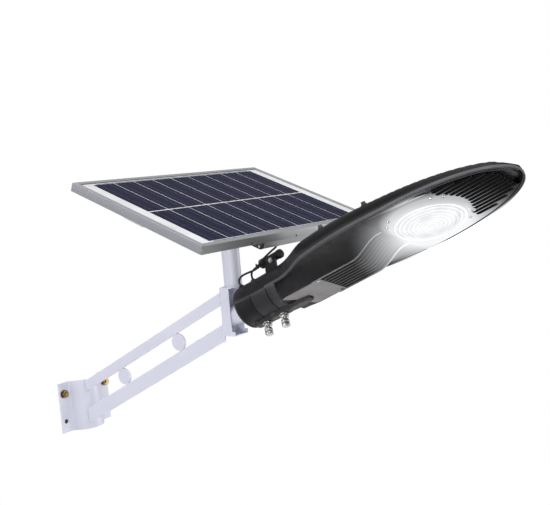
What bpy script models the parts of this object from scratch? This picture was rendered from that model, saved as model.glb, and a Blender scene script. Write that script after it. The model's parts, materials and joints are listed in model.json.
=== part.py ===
"""Solar street lamp: pole clamp plate, ladder arm, tilting solar panel and a roll-adjustable LED head.

World frame, in millimetres until the helpers turn them into metres: the origin is the centre of the
clamp plate's rear plane, +X runs out along the arm to the lamp's tip, +Z is up, and +Y is across.
The panel is modelled in the frame of its tilt hinge, and the head in the frame of its collar, where
X runs from the collar's end to the tip and Z points out of the top of the housing.
"""
import math

import bmesh
import bpy
from mathutils import Matrix, Vector

MM = 0.001
GAP = 0.3                                   # clearance between touching pieces

# Clamp plate on the pole
PLATE_WIDTH, PLATE_HEIGHT, PLATE_THICK = 128.0, 99.0, 4.0
ARCH_RADIUS, ARCH_CENTRE_X = 37.0, -5.5     # middle line of the half-round pole seat
ARCH_FILLET = 7.0
PLATE_HOLE_RADIUS = 4.6
PLATE_HOLE_Y, PLATE_HOLE_Z = 54.0, 27.5

# Ladder arm: two flat bars with round spacers, rising along +X
ARM_SLOPE = 0.49
ARM_END_X = 394.0
ARM_START_X = 31.6
ARM_NEAR_Y, ARM_THICK = -19.0, 6.0
ARM_MID_Z = 195.75                          # mid height of the gap between the bars at the post axis
ARM_GAP = 34.3                              # vertical gap between the bars
UPPER_BAR_DEPTH, LOWER_BAR_DEPTH = 21.8, 29.8
ARM_DISC_X = (139.4, 286.6)
ARM_DISC_THICK = 5.0

# End bracket and panel post
POST_X, POST_RADIUS, POST_WALL = 411.3, 15.5, 1.5
POST_BASE_Z, POST_TOP_Z = 235.3, 328.0
BRACKET_BACK_X, BRACKET_WALL_X, BRACKET_FRONT_X = 394.3, 414.0, 420.6
BRACKET_HALF_WIDTH, BRACKET_SHEET = 19.0, 2.0
BRACKET_BOTTOM_Z, BRACKET_TOP_Z = 150.0, 235.0
BRACKET_LIP = 8.0

# Panel, in its hinge frame: X down the slope, Z out of the glass
PANEL_TILT = 22.4
HINGE_Z = 346.2
PANEL_LENGTH, PANEL_WIDTH = 478.8, 280.5    # along Y, and down the slope
PANEL_TOP, FRAME_DEPTH, FRAME_LIP = 40.5, 14.0, 9.0
FRAME_SHEET = 1.8
GLASS_THICK, CELL_THICK, BACK_THICK = 3.2, 0.6, 0.8
CHANNEL_WIDTH, CHANNEL_DEPTH, CHANNEL_SHEET, CHANNEL_STRAP = 40.0, 10.0, 2.0, 36.0
EAR_RADIUS, EAR_THICK, FORK_INSIDE, FORK_GAP = 12.0, 3.0, 10.3, 0.3
FORK_EAR = 8.0
BOLT_RADIUS = 4.0
BOX_U = (62.0, 125.0)                       # battery box, down the slope
BOX_Y = (-68.0, 112.0)
BOX_BOTTOM, BOX_WALL, BOX_CAP = 6.5, 1.6, 7.0
GLAND_U, GLAND_Y = 112.0, -6.0

# Head, in its collar frame: X from the collar's end to the tip, Z out of the housing's top
HEAD_ORIGIN = (442.0, 0.0, 198.5)
HEAD_RISE, HEAD_ROLL = 23.6, -22.0
HEAD_LENGTH, HEAD_WIDTH = 541.0, 178.0
COLLAR_RADIUS, COLLAR_BORE, COLLAR_LENGTH = 37.4, 33.0, 85.0
WIDEST_S = 340.0
RIM_Z = -14.6
OUTLINE_POWER, NECK_BLEND = 2.0, 105.0
STUD_BACK, STUD_TIP = -7.0, 14.5
COLLAR_SPLIT_Z, RIM_LEVEL_S = -2.2, 360.0   # the rim rises from there back to the collar's split
CROWN_START, CROWN_END = 52.0, 12.0         # crown height above the rim at the collar and the tip
SHELL = 3.2
COVER_START, COVER_END = 95.3, 318.0
BULGE_HALF_WIDTH, BULGE_Z = 34.5, -36.0
RAMP_START = 245.0
COVER_SCREW_S, COVER_SCREW_Y = 181.0, 30.0
LENS_S, LENS_RADIUS, BEZEL_WIDTH = 384.0, 53.0, 7.0
CLAMP_BOLT_S = (36.0, 75.0)
KEEL_Z = -43.0
SPIGOT_RADIUS, SPIGOT_WALL = 16.7, 2.5
SPIGOT_END_S = 88.0
GROMMETS = {"loop_grommet": (9.0, 125.0), "pigtail_grommet": (31.0, 111.0)}    # place, angle
GROMMET_RADIUS, GROMMET_TOP = 4.6, 40.0     # top, measured from the collar's axis
SLEEVE_S, SADDLE_S = (3.0, 84.0), (22.0, 88.0)
SLEEVE_SLOT, SADDLE_HALF, SADDLE_Z = 20.0, 8.0, -24.0
CLAMP_HEAD_Z, CLAMP_HEAD_HIGH = -53.3, 12.7
DRIVER_S, DRIVER_HALF, DRIVER_Z = (110.0, 238.0), 24.0, (-32.0, -2.0)
LENS_PLATE_THICK, LENS_PLATE_MARGIN = 3.3, 3.0
SLOT_COUNT, SLOT_PITCH, SLOT_HALF, SLOT_DEPTH, SLOT_END = 9, 9.0, 3.0, 2.1, 522.0
SPREADER_RADIUS, SPREADER_THICK, CHIP_HALF = 34.0, 7.0, 20.0
LENS_RISE, LENS_WALL = 8.0, 2.5
LUG_S, LUG_Y, LUG_TOP = (74.0, 98.0), (-28.0, -23.0), 50.0
LUG_BOLT = (90.0, 43.0)

# Leads
LEAD_RADIUS = 1.8
SOCKET_ORIGIN = (46.0, -10.0, 57.0)         # capped socket on the pigtail, in the head's rest frame
PANEL_LEAD = [(515.3, -6.0, 304.6), (512.2, -6.2, 301.0), (505.8, -6.1, 297.0), (495.8, -5.0, 290.6),
              (483.6, -2.4, 282.6), (474.3, -0.5, 274.9), (469.2, 0.6, 269.4)]
LEAD_TIE = (467.5, 0.9, 267.5)
COLLAR_LEAD = [(465.5, 1.0, 266.2), (460.8, 0.6, 263.4), (455.8, -0.8, 261.4), (450.9, -2.5, 259.7),
               (446.0, -4.4, 257.9), (441.3, -6.4, 255.8), (437.0, -8.3, 252.9),
               (433.8, -9.7, 248.7), (433.0, -10.0, 243.3), (434.5, -9.1, 238.1)]
PIGTAIL_LEAD = [(461.2, 12.1, 268.7), (458.1, 12.0, 267.2), (455.0, 11.6, 265.5),
                (452.3, 10.7, 263.6), (450.2, 9.2, 261.2), (449.3, 7.1, 258.6), (449.7, 4.9, 256.0),
                (451.0, 2.9, 253.5), (452.6, 1.4, 250.9), (454.2, 0.6, 248.1)]
LEAD_SPACING = 4.5                          # between the points of a lead's line

COLOURS = {                                 # base colour, metallic, roughness
    "white_paint": ((0.66, 0.66, 0.78), 0.0, 0.45),
    "zinc": ((0.72, 0.62, 0.38), 1.0, 0.35),
    "stainless": ((0.75, 0.74, 0.72), 1.0, 0.25),
    "anodised": ((0.50, 0.52, 0.53), 0.9, 0.42),
    "glass": ((0.85, 0.90, 0.92), 0.0, 0.06),
    "cells": ((0.020, 0.026, 0.115), 0.2, 0.25),
    "backsheet": ((0.85, 0.85, 0.86), 0.0, 0.5),
    "charcoal": ((0.048, 0.045, 0.052), 0.3, 0.45),
    "black_plastic": ((0.015, 0.015, 0.016), 0.0, 0.5),
    "rubber": ((0.012, 0.012, 0.012), 0.0, 0.75),
    "battery": ((0.04, 0.18, 0.42), 0.0, 0.4),
    "circuit": ((0.02, 0.16, 0.07), 0.0, 0.4),
    "reflector": ((0.90, 0.90, 0.90), 1.0, 0.08),
    "phosphor": ((0.95, 0.85, 0.35), 0.0, 0.4),
    "aluminium": ((0.72, 0.73, 0.74), 1.0, 0.35),
}


# ---------------------------------------------------------------- helpers
def clear_scene():
    for old in list(bpy.data.objects):
        bpy.data.objects.remove(old, do_unlink=True)


def material(name):
    found = bpy.data.materials.get(name)
    if found:
        return found
    colour, metallic, roughness = COLOURS[name]
    made = bpy.data.materials.new(name)
    made.use_nodes = True
    shader = made.node_tree.nodes["Principled BSDF"]
    shader.inputs["Base Color"].default_value = (*colour, 1.0)
    shader.inputs["Metallic"].default_value = metallic
    shader.inputs["Roughness"].default_value = roughness
    return made


def empty(name, location, rotation=None):
    made = bpy.data.objects.new(name, None)
    bpy.context.scene.collection.objects.link(made)
    turn = rotation if rotation is not None else Matrix.Identity(4)
    made.matrix_world = Matrix.Translation(Vector(location) * MM) @ turn
    return made


def add_mesh(name, bm, finish, parent=None, smooth=None):
    """Turn a bmesh in millimetres into an object in metres, with faces pointing out."""
    bmesh.ops.scale(bm, vec=(MM, MM, MM), verts=bm.verts)
    bmesh.ops.recalc_face_normals(bm, faces=bm.faces)
    mesh = bpy.data.meshes.new(name)
    bm.to_mesh(mesh)
    bm.free()
    made = bpy.data.objects.new(name, mesh)
    bpy.context.scene.collection.objects.link(made)
    made.data.materials.append(material(finish))
    if smooth is not None:
        mesh.shade_smooth()
        mesh.set_sharp_from_angle(angle=math.radians(smooth))
    if parent is not None:
        made.parent = parent
    return made


def hide_as_cutter(tool):
    tool.hide_render = True
    tool.display_type = "WIRE"


def boolean(target, tool, operation):
    change = target.modifiers.new(operation.lower(), "BOOLEAN")
    change.operation = operation
    change.solver = "EXACT"
    change.object = tool
    hide_as_cutter(tool)


def loft_mesh(sections):
    """Skin closed sections of equal point count, and cap both ends."""
    bm = bmesh.new()
    rings = [[bm.verts.new(point) for point in section] for section in sections]
    count = len(rings[0])
    for ring, after in zip(rings, rings[1:]):
        for i in range(count):
            j = (i + 1) % count
            bm.faces.new((ring[i], ring[j], after[j], after[i]))
    bm.faces.new(rings[0][::-1])
    bm.faces.new(rings[-1])
    return bm


def prism(name, outline, low, high, finish, axis="z", parent=None, smooth=None):
    """Extrude an outline: (x, y) along z, (x, z) along y, or (y, z) along x."""
    place = {"z": lambda a, b, h: (a, b, h), "y": lambda a, b, h: (a, h, b),
             "x": lambda a, b, h: (h, a, b)}[axis]
    sections = [[place(a, b, h) for a, b in outline] for h in (low, high)]
    return add_mesh(name, loft_mesh(sections), finish, parent, smooth)


def block(name, xs, ys, zs, finish, parent=None):
    outline = [(xs[0], ys[0]), (xs[1], ys[0]), (xs[1], ys[1]), (xs[0], ys[1])]
    return prism(name, outline, zs[0], zs[1], finish, "z", parent)


def circle(radius, count, centre=(0.0, 0.0), start=0.0):
    turns = [start + 2 * math.pi * i / count for i in range(count)]
    return [(centre[0] + radius * math.cos(t), centre[1] + radius * math.sin(t)) for t in turns]


def arc(centre, radius, start, end, count):
    """Points on an arc, in degrees, both ends included."""
    turns = [math.radians(start + (end - start) * i / count) for i in range(count + 1)]
    return [(centre[0] + radius * math.cos(t), centre[1] + radius * math.sin(t)) for t in turns]


def turned(name, profile, finish, origin=(0, 0, 0), along=(0, 0, 1), count=32, parent=None):
    """Revolve a closed (radius, height) profile about a line; a radius of 0 makes a pole."""
    bm = bmesh.new()
    turn = Vector((0, 0, 1)).rotation_difference(Vector(along)).to_matrix().to_4x4()
    move = Matrix.Translation(Vector(origin)) @ turn
    rings = []
    for radius, height in profile:
        steps = 1 if radius == 0 else count
        rings.append([bm.verts.new(move @ Vector((x, y, height)))
                      for x, y in circle(radius, steps)])
    closed = profile[0][0] > 0
    pairs = list(zip(rings, rings[1:])) + ([(rings[-1], rings[0])] if closed else [])
    for ring, after in pairs:
        for i in range(count):
            j = (i + 1) % count
            corners = [ring[i % len(ring)], ring[j % len(ring)],
                       after[j % len(after)], after[i % len(after)]]
            face = [v for k, v in enumerate(corners) if v not in corners[:k]]
            bm.faces.new(face)
    return add_mesh(name, bm, finish, parent, smooth=35)


def rod(name, radius, low, high, finish, origin, along, parent=None, count=24):
    profile = [(0, low), (radius, low), (radius, high), (0, high)]
    return turned(name, profile, finish, origin, along, count, parent)


def ring(name, inner, outer, low, high, finish, origin, along, parent=None, count=32):
    profile = [(inner, low), (outer, low), (outer, high), (inner, high)]
    return turned(name, profile, finish, origin, along, count, parent)


def hex_bolt(name, radius, across, head, length, finish, origin, along, parent=None):
    """Bolt whose head starts at the origin and whose shank runs the other way."""
    bm = bmesh.new()
    turn = Vector((0, 0, 1)).rotation_difference(Vector(along)).to_matrix().to_4x4()
    move = Matrix.Translation(Vector(origin)) @ turn
    corner = across / math.sqrt(3)
    sides = 24
    shank_end = [bm.verts.new((x, y, -length)) for x, y in circle(radius, sides)]
    shank_top = [bm.verts.new((x, y, 0)) for x, y in circle(radius, sides)]
    head_low = [bm.verts.new((x, y, 0)) for x, y in circle(corner, 6)]
    head_high = [bm.verts.new((x, y, head)) for x, y in circle(corner, 6)]
    bm.faces.new(shank_end[::-1])
    bm.faces.new(head_high)
    for i in range(sides):
        j = (i + 1) % sides
        bm.faces.new((shank_end[i], shank_end[j], shank_top[j], shank_top[i]))
    per_side = sides // 6
    for k in range(6):
        low, high = head_low[k], head_low[(k + 1) % 6]
        bm.faces.new((low, high, head_high[(k + 1) % 6], head_high[k]))
        run = [shank_top[(k * per_side + n) % sides] for n in range(per_side + 1)]
        bm.faces.new([high, low] + run)
    bmesh.ops.transform(bm, matrix=move, verts=bm.verts)
    return add_mesh(name, bm, finish, parent, smooth=35)


def hex_nut(name, bore, across, height, finish, origin, along, parent=None):
    bm = bmesh.new()
    turn = Vector((0, 0, 1)).rotation_difference(Vector(along)).to_matrix().to_4x4()
    move = Matrix.Translation(Vector(origin)) @ turn
    sides, per_side = 24, 4
    corner = across / math.sqrt(3)
    levels = []
    for z in (0, height):
        inner = [bm.verts.new((x, y, z)) for x, y in circle(bore, sides)]
        outer = [bm.verts.new((x, y, z)) for x, y in circle(corner, 6)]
        levels.append((inner, outer))
    (low_in, low_out), (high_in, high_out) = levels
    for i in range(sides):
        j = (i + 1) % sides
        bm.faces.new((low_in[i], low_in[j], high_in[j], high_in[i]))
    for k in range(6):
        n = (k + 1) % 6
        bm.faces.new((low_out[k], low_out[n], high_out[n], high_out[k]))
        for inner, outer in levels:
            run = [inner[(k * per_side + m) % sides] for m in range(per_side + 1)]
            bm.faces.new([outer[n], outer[k]] + run)
    bmesh.ops.transform(bm, matrix=move, verts=bm.verts)
    return add_mesh(name, bm, finish, parent, smooth=35)


def offset_strip(path, thick):
    """Closed outline of a strip of sheet that follows a middle line."""
    left, right = [], []
    for i, (x, y) in enumerate(path):
        before = path[max(i - 1, 0)]
        after = path[min(i + 1, len(path) - 1)]
        along = Vector((after[0] - before[0], after[1] - before[1])).normalized()
        side = Vector((-along.y, along.x)) * thick / 2
        left.append((x + side.x, y + side.y))
        right.append((x - side.x, y - side.y))
    return left + right[::-1]


def smooth_path(points, spacing):
    """Points about one spacing apart on a Catmull-Rom curve through the given points."""
    ends = [2 * Vector(points[0]) - Vector(points[1])]
    ends.append(2 * Vector(points[-1]) - Vector(points[-2]))
    knots = [ends[0]] + [Vector(p) for p in points] + [ends[1]]
    path = [knots[1]]
    for a, b, c, d in zip(knots, knots[1:], knots[2:], knots[3:]):
        steps = max(1, round((c - b).length / spacing))
        for n in range(1, steps + 1):
            t = n / steps
            path.append(0.5 * (2 * b + (c - a) * t + (2 * a - 5 * b + 4 * c - d) * t * t
                               + (3 * b - a - 3 * c + d) * t ** 3))
    return path


def lead(name, points):
    curve = bpy.data.curves.new(name, "CURVE")
    curve.dimensions = "3D"
    curve.bevel_depth = LEAD_RADIUS * MM
    curve.bevel_resolution = 2
    curve.use_fill_caps = True
    path = smooth_path(points, LEAD_SPACING)
    spline = curve.splines.new("POLY")
    spline.points.add(len(path) - 1)
    for knot, point in zip(spline.points, path):
        knot.co = (*(point * MM), 1.0)
    curve.materials.append(material("rubber"))
    made = bpy.data.objects.new(name, curve)
    bpy.context.scene.collection.objects.link(made)
    return made


def blend(low, high, amount):
    """Smooth step from 0 to 1 between two values."""
    t = min(max((amount - low) / (high - low), 0.0), 1.0)
    return t * t * (3 - 2 * t)


# ---------------------------------------------------------------- pole clamp and arm
def clamp_plate_outline():
    """Flanges and half-round seat of the clamp plate, seen from above, as (x, y)."""
    flange_x = PLATE_THICK / 2
    reach = ARCH_RADIUS + ARCH_FILLET
    drop = flange_x + ARCH_FILLET - ARCH_CENTRE_X
    fillet_y = math.sqrt(reach ** 2 - drop ** 2)
    lean = math.degrees(math.atan2(fillet_y, drop))
    half = [(flange_x, PLATE_WIDTH / 2)]
    half += arc((flange_x + ARCH_FILLET, fillet_y), ARCH_FILLET, 180, 180 + lean, 5)
    seat = arc((ARCH_CENTRE_X, 0), ARCH_RADIUS, lean, -lean, 24)
    other = [(x, -y) for x, y in half[::-1]]
    return offset_strip(half + seat[1:-1] + other, PLATE_THICK)


def build_clamp_plate():
    half = PLATE_HEIGHT / 2
    plate = prism("clamp_plate", clamp_plate_outline(), -half, half, "white_paint", smooth=35)
    for side in (-1, 1):
        for level in (-1, 1):
            hole = rod(f"cut_plate_{side}_{level}", PLATE_HOLE_RADIUS, -10, 10, "white_paint",
                       (0, side * PLATE_HOLE_Y, level * PLATE_HOLE_Z), (1, 0, 0))
            boolean(plate, hole, "DIFFERENCE")


def build_plate_bolts():
    """Two of the four clamp bolts are in place, with their nuts towards +X."""
    for side, label in ((-1, "left"), (1, "right")):
        y, z = side * PLATE_HOLE_Y, PLATE_HOLE_Z
        rod(f"plate_stud_{label}", BOLT_RADIUS, STUD_BACK, STUD_TIP, "zinc", (0, y, z), (1, 0, 0))
        hex_nut(f"plate_nut_{label}", BOLT_RADIUS + GAP, 13, 8, "zinc",
                (PLATE_THICK + GAP, y, z), (1, 0, 0))


def arm_height(x):
    """Middle of the gap between the bars."""
    return ARM_MID_Z + ARM_SLOPE * (x - POST_X)


def build_arm():
    far_y = ARM_NEAR_Y + ARM_THICK
    for name, low, high in (("arm_upper_bar", ARM_GAP / 2, ARM_GAP / 2 + UPPER_BAR_DEPTH),
                            ("arm_lower_bar", -ARM_GAP / 2 - LOWER_BAR_DEPTH, -ARM_GAP / 2)):
        outline = [(x, arm_height(x) + edge)
                   for x, edge in ((ARM_START_X, low), (ARM_END_X, low), (ARM_END_X, high),
                                   (ARM_START_X, high))]
        prism(name, outline, ARM_NEAR_Y, far_y, "white_paint", "y")
    lean = math.cos(math.atan(ARM_SLOPE))
    radius = ARM_GAP * lean / 2 - GAP
    low_y = ARM_NEAR_Y + (ARM_THICK - ARM_DISC_THICK) / 2
    for label, x in zip(("inner", "outer"), ARM_DISC_X):
        rod(f"arm_disc_{label}", radius, low_y, low_y + ARM_DISC_THICK, "white_paint",
            (x, 0, arm_height(x)), (0, 1, 0), count=48)


def build_end_bracket():
    """Folded U-channel, open to the front, with a longer top and a lipped bottom."""
    wide, sheet = BRACKET_HALF_WIDTH, BRACKET_SHEET
    bracket = block("end_bracket", (BRACKET_BACK_X, BRACKET_FRONT_X), (-wide, wide),
                    (BRACKET_BOTTOM_Z, BRACKET_TOP_Z), "white_paint")
    inside = block("cut_bracket_inside", (BRACKET_BACK_X + sheet, BRACKET_FRONT_X + 5),
                   (sheet - wide, wide - sheet),
                   (BRACKET_BOTTOM_Z + sheet, BRACKET_TOP_Z - sheet), "white_paint")
    boolean(bracket, inside, "DIFFERENCE")
    step = block("cut_bracket_front", (BRACKET_WALL_X, BRACKET_FRONT_X + 5), (-wide - 5, wide + 5),
                 (BRACKET_BOTTOM_Z + BRACKET_LIP, BRACKET_TOP_Z - sheet), "white_paint")
    boolean(bracket, step, "DIFFERENCE")


def build_spigot(head):
    """Pipe through the bracket's mouth into the collar, cut upright at its inner end."""
    pipe = ring("spigot_tube", SPIGOT_RADIUS - SPIGOT_WALL, SPIGOT_RADIUS, -75, SPIGOT_END_S,
                "white_paint", (0, 0, 0), (1, 0, 0), head, count=40)
    trim = block("cut_spigot_back", (300, BRACKET_BACK_X + BRACKET_SHEET + GAP), (-60, 60),
                 (0, 300), "white_paint")
    boolean(pipe, trim, "DIFFERENCE")


def build_post():
    height = POST_TOP_Z - POST_BASE_Z
    ring("panel_post", POST_RADIUS - POST_WALL, POST_RADIUS, 0, height, "white_paint",
         (POST_X, 0, POST_BASE_Z), (0, 0, 1), count=48)
    base = POST_TOP_Z + GAP
    outline = [(FORK_INSIDE + EAR_THICK, base), (FORK_INSIDE + EAR_THICK, HINGE_Z + FORK_EAR),
               (FORK_INSIDE, HINGE_Z + FORK_EAR), (FORK_INSIDE, base + 4)]
    outline += [(-y, z) for y, z in outline[::-1]]
    fork = prism("post_fork", outline, POST_X - FORK_EAR, POST_X + FORK_EAR, "white_paint", "x")
    boolean(fork, rod("cut_fork_bore", BOLT_RADIUS + GAP, -30, 30, "white_paint",
                      (POST_X, 0, HINGE_Z), (0, 1, 0)), "DIFFERENCE")
    outside = FORK_INSIDE + 2 * EAR_THICK + FORK_GAP + GAP
    hex_bolt("tilt_bolt", BOLT_RADIUS, 13, 5.5, 2 * outside + 9, "stainless",
             (POST_X, -outside, HINGE_Z), (0, -1, 0))
    hex_nut("tilt_nut", BOLT_RADIUS + GAP, 13, 6.5, "stainless", (POST_X, outside, HINGE_Z),
            (0, 1, 0))


# ---------------------------------------------------------------- solar panel
def frame_rail_outline(edge):
    """Section of the frame rail as (across, up): a lip over the glass, a wall and a foot."""
    top, low = PANEL_TOP, PANEL_TOP - FRAME_DEPTH
    sheet = FRAME_SHEET
    inner = edge - FRAME_LIP
    return [(edge, low), (edge, top), (inner, top), (inner, top - 1), (edge - sheet, top - 1),
            (edge - sheet, low + sheet), (inner, low + sheet), (inner, low)]


def build_frame(hinge):
    """Four rails mitred at the corners, each with a gap to the next."""
    half_u, half_y = PANEL_WIDTH / 2, PANEL_LENGTH / 2
    for name, sign in (("frame_front_rail", 1), ("frame_rear_rail", -1)):
        sections = [[(sign * u, side * (half_y - (half_u - u) - GAP), z)
                     for u, z in frame_rail_outline(half_u)] for side in (-1, 1)]
        add_mesh(name, loft_mesh(sections), "anodised", hinge)
    for name, sign in (("frame_right_rail", 1), ("frame_left_rail", -1)):
        sections = [[(side * (half_u - (half_y - y) - GAP), sign * y, z)
                     for y, z in frame_rail_outline(half_y)] for side in (-1, 1)]
        add_mesh(name, loft_mesh(sections), "anodised", hinge)


def build_laminate(hinge):
    inset = FRAME_SHEET + GAP
    half_u, half_y = PANEL_WIDTH / 2 - inset, PANEL_LENGTH / 2 - inset
    top = PANEL_TOP - 1 - GAP
    for name, thick, finish in (("panel_glass", GLASS_THICK, "glass"),
                                ("cell_sheet", CELL_THICK, "cells"),
                                ("backsheet", BACK_THICK, "backsheet")):
        block(name, (-half_u, half_u), (-half_y, half_y), (top - thick, top), finish, hinge)
        top -= thick + GAP


def build_tilt_bracket(hinge):
    """Cross channel on the frame's underside, and the U-bracket that hangs from it."""
    top = PANEL_TOP - FRAME_DEPTH - GAP
    half, sheet = CHANNEL_WIDTH / 2, CHANNEL_SHEET
    low = top - CHANNEL_DEPTH
    outline = [(half, top), (half, low), (-half, low), (-half, top), (sheet - half, top),
               (sheet - half, low + sheet), (half - sheet, low + sheet), (half - sheet, top)]
    reach = PANEL_LENGTH / 2 - CHANNEL_STRAP
    channel = prism("back_channel", outline, -reach, reach, "aluminium", "y", hinge)
    for index, side in enumerate((-1, 1)):
        ends = sorted((side * (reach - sheet), side * (PANEL_LENGTH / 2 - sheet)))
        strap = block(f"cut_strap_{index}", (-half, half), ends, (top - sheet, top), "aluminium",
                      hinge)
        boolean(channel, strap, "UNION")
    base = low - GAP
    inside = FORK_INSIDE + EAR_THICK + FORK_GAP
    outside = inside + EAR_THICK
    ears = [(outside, base), (outside, -EAR_RADIUS), (inside, -EAR_RADIUS), (inside, base - 3)]
    ears += [(-y, z) for y, z in ears[::-1]]
    bracket = prism("tilt_bracket", ears, -EAR_RADIUS, EAR_RADIUS, "white_paint", "x", hinge)
    bore = rod("cut_tilt_bore", BOLT_RADIUS + GAP, -30, 30, "white_paint", (0, 0, 0), (0, 1, 0),
               hinge)
    boolean(bracket, bore, "DIFFERENCE")


def build_battery_box(hinge):
    """Ribbed extrusion under the lower edge, with caps, cells and a charge controller inside."""
    top = PANEL_TOP - FRAME_DEPTH - GAP
    low, wall = BOX_BOTTOM, BOX_WALL
    ribs = 8
    pitch = (BOX_U[1] - BOX_U[0]) / ribs
    outer = [(BOX_U[0], top), (BOX_U[1], top)]
    for k in range(ribs):
        right = BOX_U[1] - k * pitch
        outer += [(right, low + 1.5), (right - pitch * 0.25, low), (right - pitch * 0.75, low),
                  (right - pitch, low + 1.5)][0 if k == 0 else 1:]
    body = prism("battery_box", outer, BOX_Y[0] + BOX_CAP, BOX_Y[1] - BOX_CAP, "anodised", "y",
                 hinge)
    hollow = block("cut_box_inside", (BOX_U[0] + wall, BOX_U[1] - wall),
                   (BOX_Y[0] - 5, BOX_Y[1] + 5), (low + 1.5 + wall, top - wall), "anodised", hinge)
    boolean(body, hollow, "DIFFERENCE")
    for name, side in (("box_cap_left", 0), ("box_cap_right", 1)):
        ends = (BOX_Y[0], BOX_Y[0] + BOX_CAP - GAP) if side == 0 else \
            (BOX_Y[1] - BOX_CAP + GAP, BOX_Y[1])
        block(name, BOX_U, ends, (low, top), "black_plastic", hinge)
    floor, roof = low + 1.5 + wall + GAP, top - wall - GAP
    block("battery_pack", (BOX_U[0] + 4, BOX_U[1] - 4), (-18, BOX_Y[1] - BOX_CAP - 4),
          (floor, roof), "battery", hinge)
    block("charge_controller", (BOX_U[0] + 5, BOX_U[1] - 5), (BOX_Y[0] + BOX_CAP + 3, -21),
          (floor, floor + 8), "circuit", hinge)
    gland = [(LEAD_RADIUS + 0.4, -5), (4.2, -5), (5.2, -3.2), (5.2, -GAP), (LEAD_RADIUS + 0.4, -GAP)]
    turned("box_gland", gland, "rubber", (GLAND_U, GLAND_Y, low), (0, 0, 1), 24, hinge)


# ---------------------------------------------------------------- lamp head
def rim_half_width(s):
    """Plan outline of the head: round collar, leaf-shaped body, full round tip."""
    widest = HEAD_WIDTH / 2
    if s <= COLLAR_LENGTH:
        return COLLAR_RADIUS
    if s <= WIDEST_S:
        t = (WIDEST_S - s) / (WIDEST_S - COLLAR_LENGTH)
        return COLLAR_RADIUS + (widest - COLLAR_RADIUS) * (1 - t ** OUTLINE_POWER)
    t = min((s - WIDEST_S) / (HEAD_LENGTH - WIDEST_S), 1.0)
    return widest * math.sqrt(max(1 - t ** 2.3, 0.0))


def rim_height(s):
    """Height of the rim, which is level under the lens and rises to the collar's split."""
    t = (RIM_LEVEL_S - s) / (RIM_LEVEL_S - COVER_START)
    return RIM_Z + (COLLAR_SPLIT_Z - RIM_Z) * min(max(t, 0.0), 1.0)


def crown_height(s):
    """Height of the housing's top above the level part of the rim."""
    t = max(s - COLLAR_LENGTH, 0.0) / (HEAD_LENGTH - COLLAR_LENGTH)
    return CROWN_START + (CROWN_END - CROWN_START) * t ** 1.35


def crown_section(s, shrink, steps=24):
    """Points over the top from rim to rim: a circle on the collar, a flat dome on the body."""
    shape = blend(COLLAR_LENGTH - 5, COLLAR_LENGTH + NECK_BLEND, s)
    radius = COLLAR_RADIUS - shrink * (COLLAR_RADIUS - COLLAR_BORE)
    rim = rim_height(s)
    start = math.asin(rim / radius)
    wide = max(rim_half_width(s + shrink * SHELL * 0.5) - shrink * SHELL, 1.0)
    tall = crown_height(s) + RIM_Z - rim - shrink * SHELL
    points = []
    for k in range(steps + 1):
        t = k / steps
        round_at = math.pi - start + (2 * start - math.pi) * t
        dome_at = math.pi * (1 - t)
        c, d = math.cos(dome_at), math.sin(dome_at)
        dome_y = wide * math.copysign(abs(c) ** 0.5, c)
        dome_z = rim + tall * d ** 0.5
        y = (1 - shape) * radius * math.cos(round_at) + shape * dome_y
        z = (1 - shape) * radius * math.sin(round_at) + shape * dome_z
        points.append((s, y, z))
    return points


def head_stations(end):
    """Places of the sections: sparse on the collar, closer towards the round tip."""
    collar = [0.0, 40.0, 80.0]
    body = [80 + (WIDEST_S - 80) * k / 12 for k in range(1, 13)]
    tip = [WIDEST_S + (end - WIDEST_S) * math.sin(math.pi / 2 * k / 12) for k in range(1, 13)]
    return collar + body + tip


def build_upper_housing(head):
    outside = [crown_section(s, 0) for s in head_stations(HEAD_LENGTH - 0.4)]
    housing = add_mesh("upper_housing", loft_mesh(outside), "charcoal", head, smooth=35)
    inside = []
    for s in [-5.0] + head_stations(HEAD_LENGTH - SHELL - 1)[1:]:
        points = crown_section(s, 1)
        first, last = points[0], points[-1]
        inside.append(points + [(s, last[1], RIM_Z - 20), (s, first[1], RIM_Z - 20)])
    hollow = add_mesh("cut_housing_inside", loft_mesh(inside), "charcoal", head)
    boolean(housing, hollow, "DIFFERENCE")
    lug = block("cut_lug", LUG_S, LUG_Y, (25, LUG_TOP), "charcoal", head)
    boolean(housing, lug, "UNION")
    bore = rod("cut_lug_bore", 2.3, -40, 0, "charcoal", (LUG_BOLT[0], 0, LUG_BOLT[1]), (0, 1, 0),
               head, count=16)
    boolean(housing, bore, "DIFFERENCE")
    hex_bolt("lug_bolt", 2.0, 7, 3, LUG_Y[1] - LUG_Y[0] + 3, "stainless",
             (LUG_BOLT[0], LUG_Y[0] - GAP, LUG_BOLT[1]), (0, -1, 0), head)


def build_collar_lower(head):
    """Lower half of the collar, with the keel that carries the clamp bolts."""
    top = COLLAR_SPLIT_Z - GAP
    outer_at = math.degrees(math.asin(top / COLLAR_RADIUS))
    inner_at = math.degrees(math.asin(top / COLLAR_BORE))
    outline = arc((0, 0), COLLAR_RADIUS, 180 - outer_at, 360 + outer_at, 24)
    outline += arc((0, 0), COLLAR_BORE, 360 + inner_at, 180 - inner_at, 24)
    lower = prism("collar_lower", outline, 0, COVER_START - GAP, "charcoal", "x", head, 35)
    keel_outline = [(14, -34), (14, KEEL_Z + 2), (17, KEEL_Z), (88, KEEL_Z), (94.9, KEEL_Z + 3),
                    (94.9, -34)]
    keel = prism("cut_keel", keel_outline, -8, 8, "charcoal", "y", head)
    boolean(lower, keel, "UNION")
    for index, s in enumerate(CLAMP_BOLT_S):
        bore = rod(f"cut_clamp_bore_{index}", BOLT_RADIUS + GAP, -60, -20, "charcoal", (s, 0, 0),
                   (0, 0, 1), head)
        boolean(lower, bore, "DIFFERENCE")


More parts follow.
